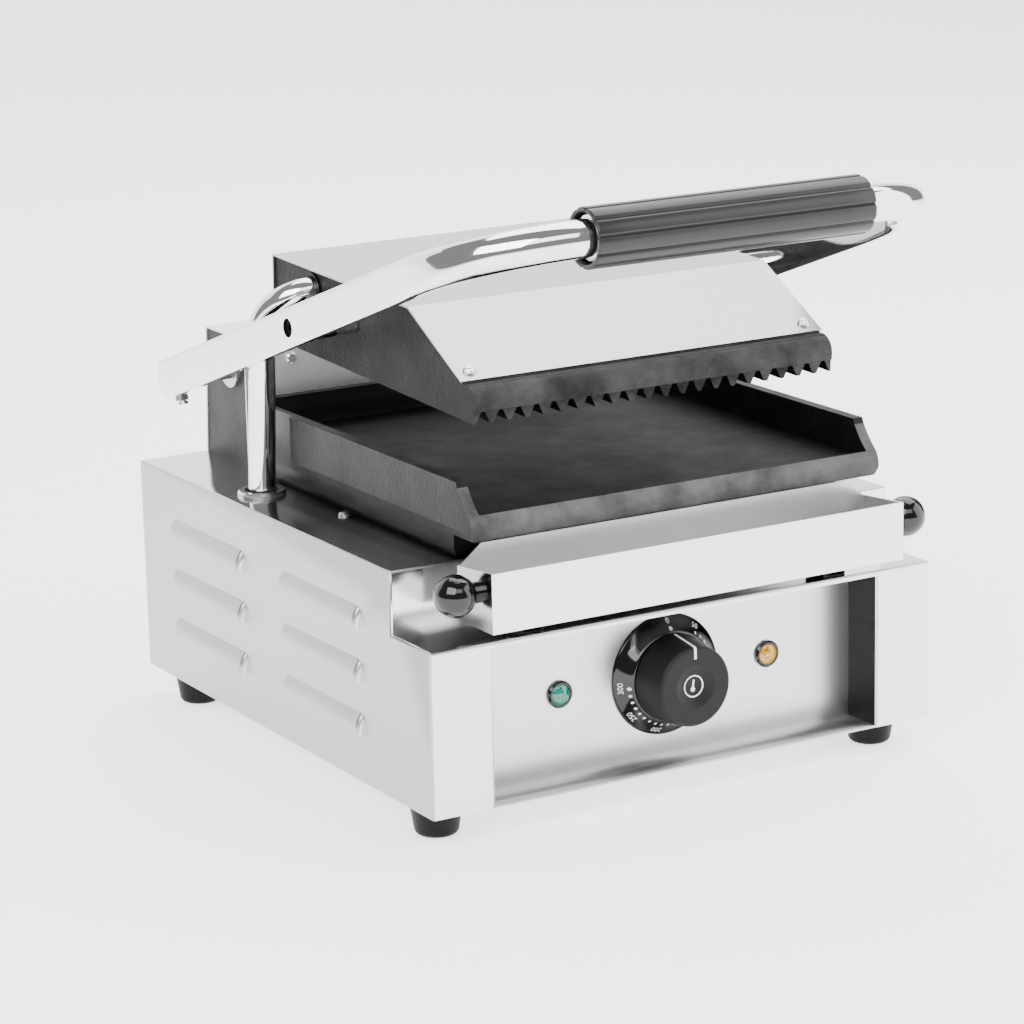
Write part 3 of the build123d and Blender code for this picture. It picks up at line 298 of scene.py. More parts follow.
def chrome(name, grey=0.86, roughness=0.06):
    """Polished plate with a faint unevenness of the metal below."""
    material, tree, shader = new_material(name)
    wave = noise(tree, object_pattern(tree, 22), detail=2.0)
    fine = noise(tree, object_pattern(tree, 260), detail=3.0)
    shader.inputs["Base Color"].default_value = (grey, grey, grey * 1.005, 1)
    shader.inputs["Metallic"].default_value = 1.0
    tree.links.new(spread(tree, fine, roughness - 0.02, roughness + 0.04), shader.inputs["Roughness"])
    bump(tree, shader, wave, 0.25, 0.0008)
    return material


def cast_iron(name, dark, light, roughness=0.5, depth=0.0005, grain=420.0, gloss=0.5):
    """Seasoned casting: sand grain, soft blotches of worn and oiled metal, and a satin gloss."""
    material, tree, shader = new_material(name)
    sand = noise(tree, object_pattern(tree, grain), detail=6.0, roughness=0.7)
    blotch = noise(tree, object_pattern(tree, 38), detail=5.0, roughness=0.62)
    tone = ramp(tree, blotch, [(0.34, dark), (0.7, light)])
    tree.links.new(tone, shader.inputs["Base Color"])
    shader.inputs["Metallic"].default_value = 0.2
    shader.inputs["Specular IOR Level"].default_value = gloss
    tree.links.new(spread(tree, blotch, roughness + 0.12, roughness - 0.12), shader.inputs["Roughness"])
    mix = add(tree, "ShaderNodeMath", operation="ADD")
    tree.links.new(sand, mix.inputs[0])
    tree.links.new(blotch, mix.inputs[1])
    bump(tree, shader, mix.outputs[0], 0.75, depth)
    return material


def moulding(name, colour, roughness, depth=0.00006, coat=0.0, gloss=0.5):
    """Moulded plastic or rubber: a plain colour with a very fine surface and slight gloss changes."""
    material, tree, shader = new_material(name)
    fine = noise(tree, object_pattern(tree, 900), detail=3.0)
    broad = noise(tree, object_pattern(tree, 30), detail=2.0)
    darker = tuple(0.85 * c for c in colour)
    tree.links.new(ramp(tree, broad, [(0.3, darker), (0.7, colour)]), shader.inputs["Base Color"])
    tree.links.new(spread(tree, broad, roughness * 0.85, roughness * 1.15), shader.inputs["Roughness"])
    shader.inputs["Specular IOR Level"].default_value = gloss
    shader.inputs["Coat Weight"].default_value = coat
    shader.inputs["Coat Roughness"].default_value = 0.05
    bump(tree, shader, fine, 0.3, depth)
    return material


def lamp_glass(name, colour, glow):
    """A tinted lens with a faceted inside, faintly lit."""
    material, tree, shader = new_material(name)
    cells = add(tree, "ShaderNodeTexVoronoi", scale=900.0)
    tree.links.new(object_pattern(tree, 1), cells.inputs["Vector"])
    dark = tuple(0.25 * c for c in colour)
    tone = ramp(tree, cells.outputs["Distance"], [(0.1, colour), (0.8, dark)])
    tree.links.new(tone, shader.inputs["Base Color"])
    tree.links.new(tone, shader.inputs["Emission Color"])
    shader.inputs["Emission Strength"].default_value = glow
    shader.inputs["Roughness"].default_value = 0.08
    shader.inputs["Coat Weight"].default_value = 1.0
    shader.inputs["Coat Roughness"].default_value = 0.02
    return material


# ---- finishes of this machine, and copies of them with painted light and shade ----
level_grain = (8, 8, 900)
cross_grain = (8, 900, 900)
soft_cross_grain = (8, 500, 500)
even_grain = (200, 200, 200)

# The casing is one brushed sheet: its side, front, top and riser greys differ as painted light and shade,
# the sides darker and the forward faces lighter.
casing_side_shaded_steel = brushed_steel("casing_steel", 0.44, level_grain, 0.34, 0.015)
casing_front_lit_steel = brushed_steel("casing_front_painted_light_steel", 0.84, level_grain, 0.34, 0.015)
casing_top_shaded_steel = brushed_steel("casing_top_painted_shade_steel", 0.62, soft_cross_grain, 0.14, 0.03)
casing_riser_lit_steel = brushed_steel("casing_riser_painted_light_steel", 0.84, cross_grain, 0.15, 0.015)
panel_steel = brushed_steel("panel_steel", 0.68, level_grain, 0.3, 0.015)
# Near-black steel as painted shade: on the side returns of the control panel's recess and under the drip
# tray.
painted_shade_steel = brushed_steel("recess_return_painted_shade", 0.012, level_grain, 0.4, 0.005)
# The recess floor is the control panel's own sheet, given its own grey on its upward faces as painted light
# and shade.
recess_floor_painted_light_steel = brushed_steel("recess_floor_painted_light_steel", 0.62, cross_grain, 0.34, 0.03)
cover_steel = brushed_steel("cover_steel", 0.46, cross_grain, 0.32, 0.015)
tray_steel = brushed_steel("tray_steel", 0.9, cross_grain, 0.36, 0.015)
# The tray's end walls: a darker copy of the tray's steel, painted shade on the sideways faces.
tray_end_painted_shade_steel = brushed_steel("tray_end_painted_shade_steel", 0.4, cross_grain, 0.12, 0.02)
housing_steel = brushed_steel("housing_steel", 0.9, cross_grain, 0.6, 0.02)
plain_steel = brushed_steel("floor_steel", 0.55, cross_grain, 0.4)
screw_steel = brushed_steel("screw_steel", 0.7, even_grain, 0.25)
dark_steel = brushed_steel("blackened_steel", 0.16, even_grain, 0.3, 0.03)
arm_chrome = chrome("arm_chrome")
tube_chrome = chrome("tube_chrome", 0.86, 0.05)
lower_iron = cast_iron("lower_iron", 0.002, 0.007, 0.38, gloss=0.2)
# The deck: a darker, less glossy copy of the plate's iron on its upward faces, painted shade.
deck_painted_shade_iron = cast_iron("deck_painted_shade_iron", 0.001, 0.003, 0.42, gloss=0.05)
# The lip's iron: a finer sand grain, and a lighter tone that is a painted highlight along the lip.
lip_painted_highlight_iron = cast_iron("lip_painted_highlight_iron", 0.02, 0.12, 0.44, 0.001, 800.0)
upper_iron = cast_iron("upper_iron", 0.002, 0.005, 0.4, 0.0004, gloss=0.08)
nose_iron = cast_iron("nose_iron", 0.002, 0.05, 0.5, 0.0022, 650.0, gloss=0.3)
bracket_iron = cast_iron("bracket_iron", 0.008, 0.014, 0.5, 0.0003, gloss=0.35)
# Black for the hanger bolts, and painted shade inside the arms' bolt seats.
bore_shade_and_bolt_black = moulding("bore_shade_and_bolt_black", (0.002, 0.002, 0.002), 0.6, gloss=0.1)
grip_plastic = moulding("grip_plastic", (0.012, 0.0125, 0.0135), 0.3, gloss=0.4)
knob_plastic = moulding("knob_plastic", (0.006, 0.006, 0.0063), 0.5, gloss=0.22)
gloss_black = moulding("gloss_black", (0.002, 0.002, 0.002), 0.08, coat=0.3, depth=0.00001, gloss=0.4)
foot_rubber = moulding("foot_rubber", (0.004, 0.004, 0.004), 0.5, gloss=0.15)
marking_white = moulding("marking_white", (0.85, 0.85, 0.85), 0.45)
pale_plastic = moulding("pale_plastic", (0.7, 0.68, 0.6), 0.5)
green_glass = lamp_glass("green_glass", (0.0, 0.26, 0.19), 0.15)
amber_glass = lamp_glass("amber_glass", (0.85, 0.4, 0.0), 0.3)

node_finish = {
    "casing": casing_side_shaded_steel, "control_panel": panel_steel, "floor_plate": plain_steel,
    "spring_housing": housing_steel, "upper_cover": cover_steel, "drip_tray": tray_steel,
    "lower_heat_shield": plain_steel, "upper_heat_shield": plain_steel,
    "lower_plate": lower_iron, "upper_plate": upper_iron, "hanger_bolts": bore_shade_and_bolt_black,
    "hinge_shaft": dark_steel, "balance_spring_left": dark_steel, "balance_spring_right": dark_steel,
    "lower_heating_element": dark_steel, "upper_heating_element": dark_steel,
    "thermostat": pale_plastic, "terminal_block": pale_plastic, "cord_inlet": knob_plastic,
    "tube_grommet": foot_rubber, "green_lamp_body": gloss_black, "amber_lamp_body": gloss_black,
    "hanger_spacers": tube_chrome, "handle_rod": arm_chrome, "grip_ferrules": arm_chrome,
    "hinge_bracket_left": bracket_iron, "hinge_bracket_right": bracket_iron,
    "hinge_bush_left": plain_steel, "hinge_bush_right": plain_steel,
}


def cad_finish(node):
    """The finish of a CAD node: bright steel for each that the table doesn't name."""
    return node_finish.get(node, screw_steel)


def finish_cad():
    """Gives every CAD node its finish."""
    for name, obj in nodes.items():
        obj.data.materials.clear()
        obj.data.materials.append(cad_finish(name))


# ---- handle frame ----
def handle_axes():
    """Forward along the arm, up from it, and across to the right, at rest."""
    forward = np.array([0, -math.cos(arm_angle), math.sin(arm_angle)])
    up = np.array([0, math.sin(arm_angle), math.cos(arm_angle)])
    return forward, up, np.array([1.0, 0, 0])


def arm(side, name):
    """Flat bar, then a round bend: the path runs straight forward, then follows a quarter circle
    towards the grip, and the section's superellipse power falls from 8 to 2 as it turns round.
    Behind, the half height closes in along a quarter circle."""
    forward, up, across = handle_axes()
    bend_start = handle_reach - handle_bend
    bend_x = arm_middle_x - handle_bend
    end_x = grip_half_length - arm_tail_in_grip
    flat = np.linspace(-arm_rear_length + arm_end_round, arm_flat_length, 40)
    close = np.linspace(0, np.pi / 2, 12)[:-1]
    flat = np.concatenate([-arm_rear_length + arm_end_round * (1 - np.cos(close)), flat])
    turn = np.linspace(arm_flat_length, bend_start, 10)[1:]
    quarter = np.linspace(0, np.pi / 2, 60)[1:]
    tail = np.linspace(0, 1, 6)[1:]
    straight = len(flat) + len(turn)
    # along the tail the travel only has to lie past the rounding, so one metre stands for it
    whole_tail = np.ones(len(tail))
    along = np.concatenate([
        flat, turn, bend_start + handle_bend * np.sin(quarter), handle_reach * whole_tail,
    ])
    out = np.concatenate([
        np.full(straight, arm_middle_x), bend_x + handle_bend * np.cos(quarter),
        bend_x + (end_x - bend_x) * tail,
    ])
    heading = np.concatenate([np.zeros(straight), quarter, np.pi / 2 * whole_tail])
    travelled = np.concatenate([along[:straight], bend_start + handle_bend * quarter, whole_tail])
    centres = pivot + along[:, None] * forward + side * out[:, None] * across
    travel = np.cos(heading)[:, None] * forward - side * np.sin(heading)[:, None] * across
    sideways = np.cross(up, travel)
    round_to = bend_start + handle_bend * arm_round_bend
    grow = np.clip((travelled - arm_round_from) / (round_to - arm_round_from), 0, 1)
    grow = grow * grow * (3 - 2 * grow)
    taper = np.clip((along + arm_rear_length) / (arm_flat_length + arm_rear_length), 0, 1)
    half_flat = arm_rear_half + (arm_front_half - arm_rear_half) * taper
    into_end = np.clip(arm_end_round - (along + arm_rear_length), 0, arm_end_round)
    half_flat -= arm_end_round - np.sqrt(arm_end_round ** 2 - into_end ** 2)
    widths = arm_thickness / 2 + (handle_tube_radius - arm_thickness / 2) * grow
    heights = half_flat + (handle_tube_radius - half_flat) * grow
    powers = flat_power + (round_power - flat_power) * grow ** rounding_pace
    points, faces = carried(centres, travel, sideways, widths, heights, powers, 96)
    solid = put_mesh(name, points, faces, "handle", arm_chrome, 50)
    return bored(solid, hanger_bolt_seat(side), (side, 0, 0), bolt_seat_radius, bolt_seat_depth)


def hanger_bolt_seat(side):
    """The middle of the hanger bolt's round seat on the arm's outer face."""
    return np.array([side * (arm_middle_x + arm_thickness / 2), hanger[1], hanger[2]])


def bored(obj, place, axis, radius, depth):
    """The object with a round blind hole cut in along the axis from the given place, its inside black as
    painted shade.
    """
    near_hole, below_face, smooth_angle = 1.2 * radius, 0.02 * MM, math.radians(35)
    profile = [[0, -depth], [radius, -depth], [radius, depth], [0, depth]]
    tool = add_object("bore", new_mesh("bore", *lathe(profile, place, axis, (0, 1, 0), 48)))
    cut = obj.modifiers.new("bore", "BOOLEAN")
    cut.operation, cut.object, cut.solver = "DIFFERENCE", tool, "EXACT"
    bpy.context.view_layer.update()
    result = bpy.data.meshes.new_from_object(obj.evaluated_get(bpy.context.evaluated_depsgraph_get()))
    obj.modifiers.clear()
    obj.data = result
    bpy.data.objects.remove(tool)
    result.set_sharp_from_angle(angle=smooth_angle)
    # The faces inside the seat get black as painted shade.
    result.materials.append(bore_shade_and_bolt_black)
    inward = -Vector(axis)
    for face in result.polygons:
        offset = face.center - Vector(place)
        if offset.length < near_hole and offset.dot(inward) > below_face:
            face.material_index = 1
    return obj


def grip():
    """A sleeve with ten broad bands: round the section the radius is the sleeve's less a narrow
    groove, depth * exp(-(d / width)^2) with d the distance round to the nearest groove, and less a
    small flattening of each band; it closes in over a small radius at each end."""
    forward, up, across = handle_axes()
    bands, steps_per_band, first_groove = 10, 32, 0.28
    radius, edge = 15.5 * MM, 1.0 * MM
    groove_depth, groove_width, flattening = 0.9 * MM, 0.75 * MM, 0.28 * MM
    recess, recess_depth, lead_in = 12.9 * MM, 7 * MM, 0.6 * MM
    corner = arc_points((0, 0), edge, 90, 0, 6)
    end_x = grip_half_length
    straight = np.linspace(0, end_x - edge, 6)[:-1]
    outer_x = np.concatenate([straight, end_x - edge + corner[:, 0]])
    drop = np.concatenate([np.zeros(len(straight)), edge - corner[:, 1]])
    inner_x = np.array([end_x, end_x - lead_in, end_x - recess_depth, end_x - recess_depth])
    inner_r = np.array([recess + lead_in, recess, recess, handle_tube_radius])
    steps = bands * steps_per_band
    angle = np.linspace(0, TURN, steps, endpoint=False)
    turn = (angle * bands / TURN + first_groove) % 1.0 - 0.5
    from_groove = (0.5 - np.abs(turn)) * TURN / bands * radius
    groove = groove_depth * np.exp(-(from_groove / groove_width) ** 2)
    band = flattening * (2 * turn) ** 2
    outer = radius - drop[:, None] - (groove + band)[None, :]
    rings = np.concatenate([outer, np.repeat(inner_r[:, None], steps, 1)])
    places = np.concatenate([outer_x, inner_x])
    rings = np.concatenate([rings[::-1], rings[1:]])
    places = np.concatenate([-places[::-1], places[1:]])
    centre = pivot + handle_reach * forward
    ring = np.cos(angle)[:, None] * forward + np.sin(angle)[:, None] * up
    points = centre + places[:, None, None] * across + rings[..., None] * ring
    faces = grid_faces(len(places), steps, closed_rows=True)
    obj = put_mesh("grip_sleeve", points.reshape(-1, 3), faces, "handle", grip_plastic, 60)
    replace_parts(obj, "grip")


# ---- wiring tube ----
def rounded_path(corners, radius, spacing=0.8 * MM):
    """Straight runs between the corners, each inner corner replaced by the arc of the given radius
    that touches both of its runs: centre = corner + radius / sin(half angle) along the bisector."""
    run_share = np.linspace(0, 1, 12)[:, None]
    pieces, start = [], corners[0]
    for before, corner, after in zip(corners, corners[1:], corners[2:]):
        back = (before - corner) / np.linalg.norm(before - corner)
        ahead = (after - corner) / np.linalg.norm(after - corner)
        half = math.acos(float(np.clip(back @ ahead, -1, 1))) / 2
        reach = radius / math.tan(half)
        bisector = (back + ahead) / np.linalg.norm(back + ahead)
        centre = corner + bisector * radius / math.sin(half)
        first, last = corner + back * reach - centre, corner + ahead * reach - centre
        sweep = math.pi - 2 * half
        t = np.linspace(0, 1, max(4, int(radius * sweep / spacing)))[:, None]
        arc = centre + (np.sin((1 - t) * sweep) * first + np.sin(t * sweep) * last) / math.sin(sweep)
        pieces += [start + run_share[:-1] * (arc[0] - start), arc[:-1]]
        start = arc[-1]
    pieces.append(start + run_share * (corners[-1] - start))
    return np.concatenate(pieces)


def wiring_tube():
    """A round section carried along the leg, the double bend and the short end."""
    radius, bend, lean = 7.5 * MM, 20 * MM, math.radians(4.8)
    leg_back, leg_bottom, leg_top = 13.9 * MM, -190 * MM, -14.5 * MM
    end_from, end_to = -10 * MM, 14 * MM
    swivel_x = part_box("upper_cover")[0][0]
    out = swivel_x - (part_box("wiring_tube")[0][0] + radius)
    back = np.array([0, math.cos(lean), math.sin(lean)])
    up = np.array([0, -math.sin(lean), math.cos(lean)])
    across = np.array([1.0, 0, 0])
    origin = np.array([swivel_x, swivel[1], swivel[2]])
    places = [(-out, leg_back, leg_bottom), (-out, leg_back, leg_top), (end_from, 0, 0), (end_to, 0, 0)]
    corners = [origin + x * across + y * back + z * up for x, y, z in places]
    centres = rounded_path(corners, bend)
    travel = np.gradient(centres, axis=0)
    travel /= np.linalg.norm(travel, axis=1)[:, None]
    side = np.cross(travel, np.broadcast_to(back, travel.shape))
    side /= np.linalg.norm(side, axis=1)[:, None]
    width = np.full(len(centres), radius)
    powers = np.full(len(centres), round_power)
    points, faces = carried(centres, travel, side, width, width, powers)
    obj = put_mesh("wiring_tube_finished", points, faces, "conduit", tube_chrome, 60)
    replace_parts(obj, "wiring_tube")


# ---- tray handles ----
def tray_ball(side, node):
    """A ball on a short neck: the profile runs up the neck and on round the ball to its pole."""
    low, high = box_corners(node)
    radius, neck = (high[2] - low[2]) / 2, 5.5 * MM
    middle = (low + high) / 2
    face_x = high[0] if side < 0 else low[0]
    centre_x = low[0] + radius if side < 0 else high[0] - radius
    base = abs(centre_x - face_x)
    start = math.degrees(math.asin(neck / radius))
    turn = np.radians(np.linspace(start, 180, 48))
    ball = np.stack([radius * np.sin(turn), base - radius * np.cos(turn)], -1)
    profile = np.concatenate([[[0, 0], [neck, 0]], ball])
    origin = np.array([face_x, middle[1], middle[2]])
    points, faces = lathe(profile, origin, (side, 0, 0), (0, 1, 0))
    obj = put_mesh(f"{node}_finished", points, faces, "tray", gloss_black, 50)
    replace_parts(obj, node)


# ---- dial ----
bezel_radius, bezel_edge = 33.0 * MM, 1.2 * MM
bezel_top_radius, bezel_height = 24.6 * MM, 8.4 * MM
bezel_hollow, bezel_wall, bezel_bore = 0.7 * MM, 2.2 * MM, 5.2 * MM
knob_base, knob_top = 9.0 * MM, 30.0 * MM
knob_base_radius, knob_face_radius, knob_edge = 24.0 * MM, 21.7 * MM, 1.8 * MM
dish_radius, dish_depth = 11.5 * MM, 2.6 * MM
mark_lift, ring_lift, number_lift = 0.08 * MM, 0.06 * MM, 0.1 * MM
dot_ring, number_ring = 26.3 * MM, 29.7 * MM
scale_angles = {0: 0, 50: 35, 100: 88, 150: 142, 200: 195, 250: 230, 300: 265}


def dial_point(radius, clockwise, height):
    """The place at a radius, an angle clockwise from the top seen from the front, and a height."""
    angle = np.radians(clockwise)
    across = radius * np.sin(angle)
    up = radius * np.cos(angle)
    return dial + np.stack([across, -height + 0 * across, up], -1)


def bezel_slope_height(radius):
    """Height of the bezel's slope: a straight line from the outer edge to the top, let in a little."""
    t = (bezel_radius - radius) / (bezel_radius - bezel_top_radius)
    return bezel_edge + (bezel_height - bezel_edge) * t - bezel_hollow * np.sin(np.pi * t)


def dial_bezel():
    """A flared ring turned round the dial's axis."""
    edge, top_edge = 0.4 * MM, 0.3 * MM
    radius = np.linspace(bezel_radius - edge, bezel_top_radius + top_edge, 14)
    slope = np.stack([radius, bezel_slope_height(radius)], -1)
    inner = bezel_top_radius - bezel_wall
    profile = np.concatenate([
        [[bezel_bore, 0], [bezel_radius, 0], [bezel_radius, bezel_edge - edge]], slope,
        [[bezel_top_radius - edge, bezel_height], [inner, bezel_height], [inner, bezel_wall],
         [bezel_bore, bezel_wall]],
    ])
    points, faces = lathe(profile, dial, (0, -1, 0), (1, 0, 0), 144, closed=True)
    obj = put_mesh("dial_bezel_finished", points, faces, "base", gloss_black, 35)
    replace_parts(obj, "dial_bezel")


def knob_height(radius):
    """Height of the knob's face: level, with a spherical dish in the middle."""
    full = (dish_radius ** 2 + dish_depth ** 2) / (2 * dish_depth)
    inside = np.clip(radius, 0, dish_radius)
    drop = np.sqrt(full ** 2 - inside ** 2) - (full - dish_depth)
    return knob_top - drop


def thermostat_knob():
    """A tapered drum turned round the dial's axis, with a round edge and a dished face."""
    skirt, skirt_rise, foot_edge = 2.4 * MM, 1 * MM, 0.4 * MM
    rim_outside, rim_inside = 0.6 * MM, 1.0 * MM
    side = [[0, knob_base + skirt_rise], [knob_base_radius - skirt, knob_base + skirt_rise],
            [knob_base_radius - skirt, knob_base], [knob_base_radius - foot_edge, knob_base],
            [knob_base_radius, knob_base + foot_edge]]
    corner = arc_points((knob_face_radius - knob_edge, knob_top - knob_edge), knob_edge, 6, 90, 10)
    rim = np.linspace(knob_face_radius - knob_edge - rim_outside, dish_radius + rim_inside, 4)
    dish = np.linspace(dish_radius, 0, 22)
    profile = np.concatenate([
        side, corner, np.stack([rim, np.full(len(rim), knob_top)], -1),
        np.stack([dish, knob_height(dish)], -1),
    ])
    points, faces = lathe(profile, dial, (0, -1, 0), (1, 0, 0), 160)
    obj = put_mesh("thermostat_knob_finished", points, faces, "knob", knob_plastic, 50)
    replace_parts(obj, "thermostat_knob")


def patch(name, points, body, finish):
    """A thin patch laid on a surface, from an open grid of points."""
    rows, columns = points.shape[:2]
    faces = grid_faces(rows, columns, closed_columns=False)
    put_mesh(name, points.reshape(-1, 3), faces, body, finish, 60)


def knob_pointer():
    """A white line up the drum's side and over its edge, at the top of the dial: across it the angle
    runs over a small share of a turn, and along it the profile's points are followed."""
    half_width, from_base, on_the_face = 0.75 * MM, 1.5 * MM, 6.5 * MM
    centre = (knob_face_radius - knob_edge, knob_top - knob_edge)
    corner = arc_points(centre, knob_edge + mark_lift, 6, 90, 8)
    line = np.concatenate([
        [[knob_base_radius + mark_lift, knob_base + from_base]], corner,
        [[knob_face_radius - on_the_face, knob_top + mark_lift]],
    ])
    across = np.linspace(-1, 1, 5) * half_width
    angle = np.degrees(across[None, :] / line[:, 0][:, None])
    radius = np.repeat(line[:, 0][:, None], len(across), 1)
    height = np.repeat(line[:, 1][:, None], len(across), 1)
    patch("knob_pointer", dial_point(radius, angle, height), "knob", marking_white)


def knob_mark():
    """A plain ring with a thermometer in it, laid on the dish: each outline point (x, y) is set to
    the dish's height at its distance from the middle."""
    ring_inside, ring_outside, lean = 5.3, 6.0, math.radians(6)
    bulb_radius, bulb_centre = 1.35 * MM, -1.8 * MM
    stem_half_width, stem_bottom, stem_top = 0.55, -1.0, 3.4
    angle = np.linspace(0, 360, 73)
    radius = np.array([ring_inside, ring_outside])[:, None] * MM * np.ones_like(angle)
    ring = dial_point(radius, angle[None, :] + 0 * radius, knob_height(radius) + ring_lift)
    patch("knob_ring_mark", ring, "knob", marking_white)

    def lay(x, y):
        """The point (x, y) of the mark, leant over and set on the dish."""
        u = x * math.cos(lean) + y * math.sin(lean)
        v = y * math.cos(lean) - x * math.sin(lean)
        return dial + np.stack([u, -(knob_height(np.hypot(u, v)) + ring_lift), v], -1)

    turn = np.linspace(0, TURN, 33)
    share = np.array([0.0, 1.0])[:, None]
    bulb = lay(share * bulb_radius * np.cos(turn), bulb_centre + share * bulb_radius * np.sin(turn))
    patch("knob_bulb_mark", bulb, "knob", marking_white)
    x = np.array([-stem_half_width, stem_half_width])[:, None] * MM
    y = np.linspace(stem_bottom, stem_top, 6)[None, :] * MM
    patch("knob_stem_mark", lay(x + 0 * y, y + 0 * x), "knob", marking_white)


def scale_dots():
    """Round dots on the bezel's slope, one at 0 and then one each few degrees from 50 on: each is a
    small disc round its place, and the first and last are larger."""
    first, step, past_end = scale_angles[50] + 0.8, 8.8, 1
    end_dot, plain_dot = 0.95, 0.72
    last = scale_angles[300] + past_end
    marks = [0.0] + [a for a in np.arange(first, last + step, step) if a <= last]
    turn = np.linspace(0, TURN, 13)
    share = np.array([0.0, 1.0])[:, None]
    for index, clockwise in enumerate(marks):
        size = (end_dot if index in (0, len(marks) - 1) else plain_dot) * MM
        radius = dot_ring + share * size * np.cos(turn)
        angle = clockwise + np.degrees(share * size * np.sin(turn) / dot_ring)
        disc = dial_point(radius, angle, bezel_slope_height(radius) + mark_lift)
        patch(f"scale_dot_{index:02d}", disc, "base", marking_white)


def scale_number(value, clockwise):
    """A number whose flat outline is bent on to the bezel's slope: x goes round, y goes outwards."""
    height, slope_share = 4.3 * MM, 0.85
    curve = bpy.data.curves.new(f"scale_text_{value}", "FONT")
    curve.body = str(value)
    curve.align_x, curve.align_y = "CENTER", "CENTER"
    curve.size = height
    curve.resolution_u = 3
    text = add_object(f"scale_text_{value}", curve)
    bpy.context.view_layer.update()
    mesh = bpy.data.meshes.new_from_object(text.evaluated_get(bpy.context.evaluated_depsgraph_get()))
    bpy.data.objects.remove(text)
    flat = np.zeros(len(mesh.vertices) * 3, np.float32)
    mesh.vertices.foreach_get("co", flat)
    flat = flat.reshape(-1, 3)
    radius = number_ring + flat[:, 1] * slope_share
    angle = clockwise + np.degrees(flat[:, 0] / number_ring)
    bent = dial_point(radius, angle, bezel_slope_height(radius) + number_lift)
    mesh.vertices.foreach_set("co", bent.astype(np.float32).ravel())
    mesh.materials.clear()
    mesh.materials.append(marking_white)
    mesh.update()
    obj = add_object(f"scale_number_{value}", mesh)
    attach(obj, "base")


# ---- lamps and feet ----
def lamp_lens(node, glass):
    """A drum with a shallow spherical top, turned round the lamp's axis."""
    low, high = box_corners(node)
    radius, top = (high[0] - low[0]) / 2, high[1] - low[1]
    rise, edge, edge_drop = 1.9 * MM, 0.15 * MM, 0.2 * MM
    full = (radius ** 2 + rise ** 2) / (2 * rise)
    out = np.linspace(radius - edge, 0, 14)
    dome = np.stack([out, top - full + np.sqrt(full ** 2 - out ** 2)], -1)
    profile = np.concatenate([[[0, 0], [radius, 0], [radius, dome[0, 1] - edge_drop]], dome])
    origin = np.array([(low[0] + high[0]) / 2, high[1], (low[2] + high[2]) / 2])
    points, faces = lathe(profile, origin, (0, -1, 0), (1, 0, 0), 64)
    obj = put_mesh(f"{node}_finished", points, faces, "base", glass, 40)
    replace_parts(obj, node)


def foot(node):
    """A tapered foot with a round tread and a sunk seat, turned round its own axis."""
    low, high = box_corners(node)
    top_radius, height = (high[0] - low[0]) / 2, high[2] - low[2]
    bottom_radius, edge, seat_radius, seat_floor, chamfer = 11.8 * MM, 3.5 * MM, 5.0 * MM, 12 * MM, 0.4 * MM
    top_edge = [(0.5 * MM, 1.2 * MM), (0.1 * MM, 0.5 * MM), (0.4 * MM, 0)]
    tread = arc_points((bottom_radius - edge, -height + edge), edge, 270, 352, 12)
    profile = np.concatenate([
        [[0, -seat_floor], [seat_radius, -seat_floor], [seat_radius, -height + chamfer],
         [seat_radius + chamfer, -height]],
        tread,
        [[top_radius - inside, -below] for inside, below in top_edge],
        [[0, 0]],
    ])
    origin = np.array([(low[0] + high[0]) / 2, (low[1] + high[1]) / 2, high[2]])
    points, faces = lathe(profile, origin, (0, 0, 1), (1, 0, 0), 80)
    obj = put_mesh(f"{node}_finished", points, faces, "base", foot_rubber, 40)
    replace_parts(obj, node)


# ---- where the finishes and the painted light and shade change ----
square_on = 0.9
nose_facing, nose_depth = 0.35, 12 * MM
lip_facing, lip_side_limit, lip_depth = 0.15, 0.5, 14 * MM
riser_behind_front, riser_height = 2 * MM, 45 * MM
tray_underside, tray_front_wall = 5 * MM, 1 * MM


def faces_up(middle, normal):
    return normal.z > square_on


def faces_forward(middle, normal):
    return normal.y < -square_on


def faces_sideways(middle, normal):
    return abs(normal.x) > square_on


def on_the_riser(middle, normal):
    """The casing's upright step behind the tray."""
    behind_front = middle.y > casing_low[1] + riser_behind_front
    return faces_forward(middle, normal) and behind_front and middle.z > casing_high[2] - riser_height


def under_the_tray(middle, normal):
    """The tray's runners and underside, which get painted shade."""
    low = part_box("drip_tray")[0]
    return middle.z < low[2] + tray_underside and middle.y > low[1] + tray_front_wall


def on_the_lip(middle, normal):
    """The lower plate's rounded front lip, which gets a lighter tone as a painted highlight."""
    near_front = middle.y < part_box("lower_plate")[0][1] + lip_depth
    return near_front and normal.y < -lip_facing and abs(normal.x) < lip_side_limit


def on_the_nose(middle, normal):
    """The upper casting's rounded front lip."""
    return normal.y < -nose_facing and middle.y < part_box("upper_plate")[0][1] + nose_depth


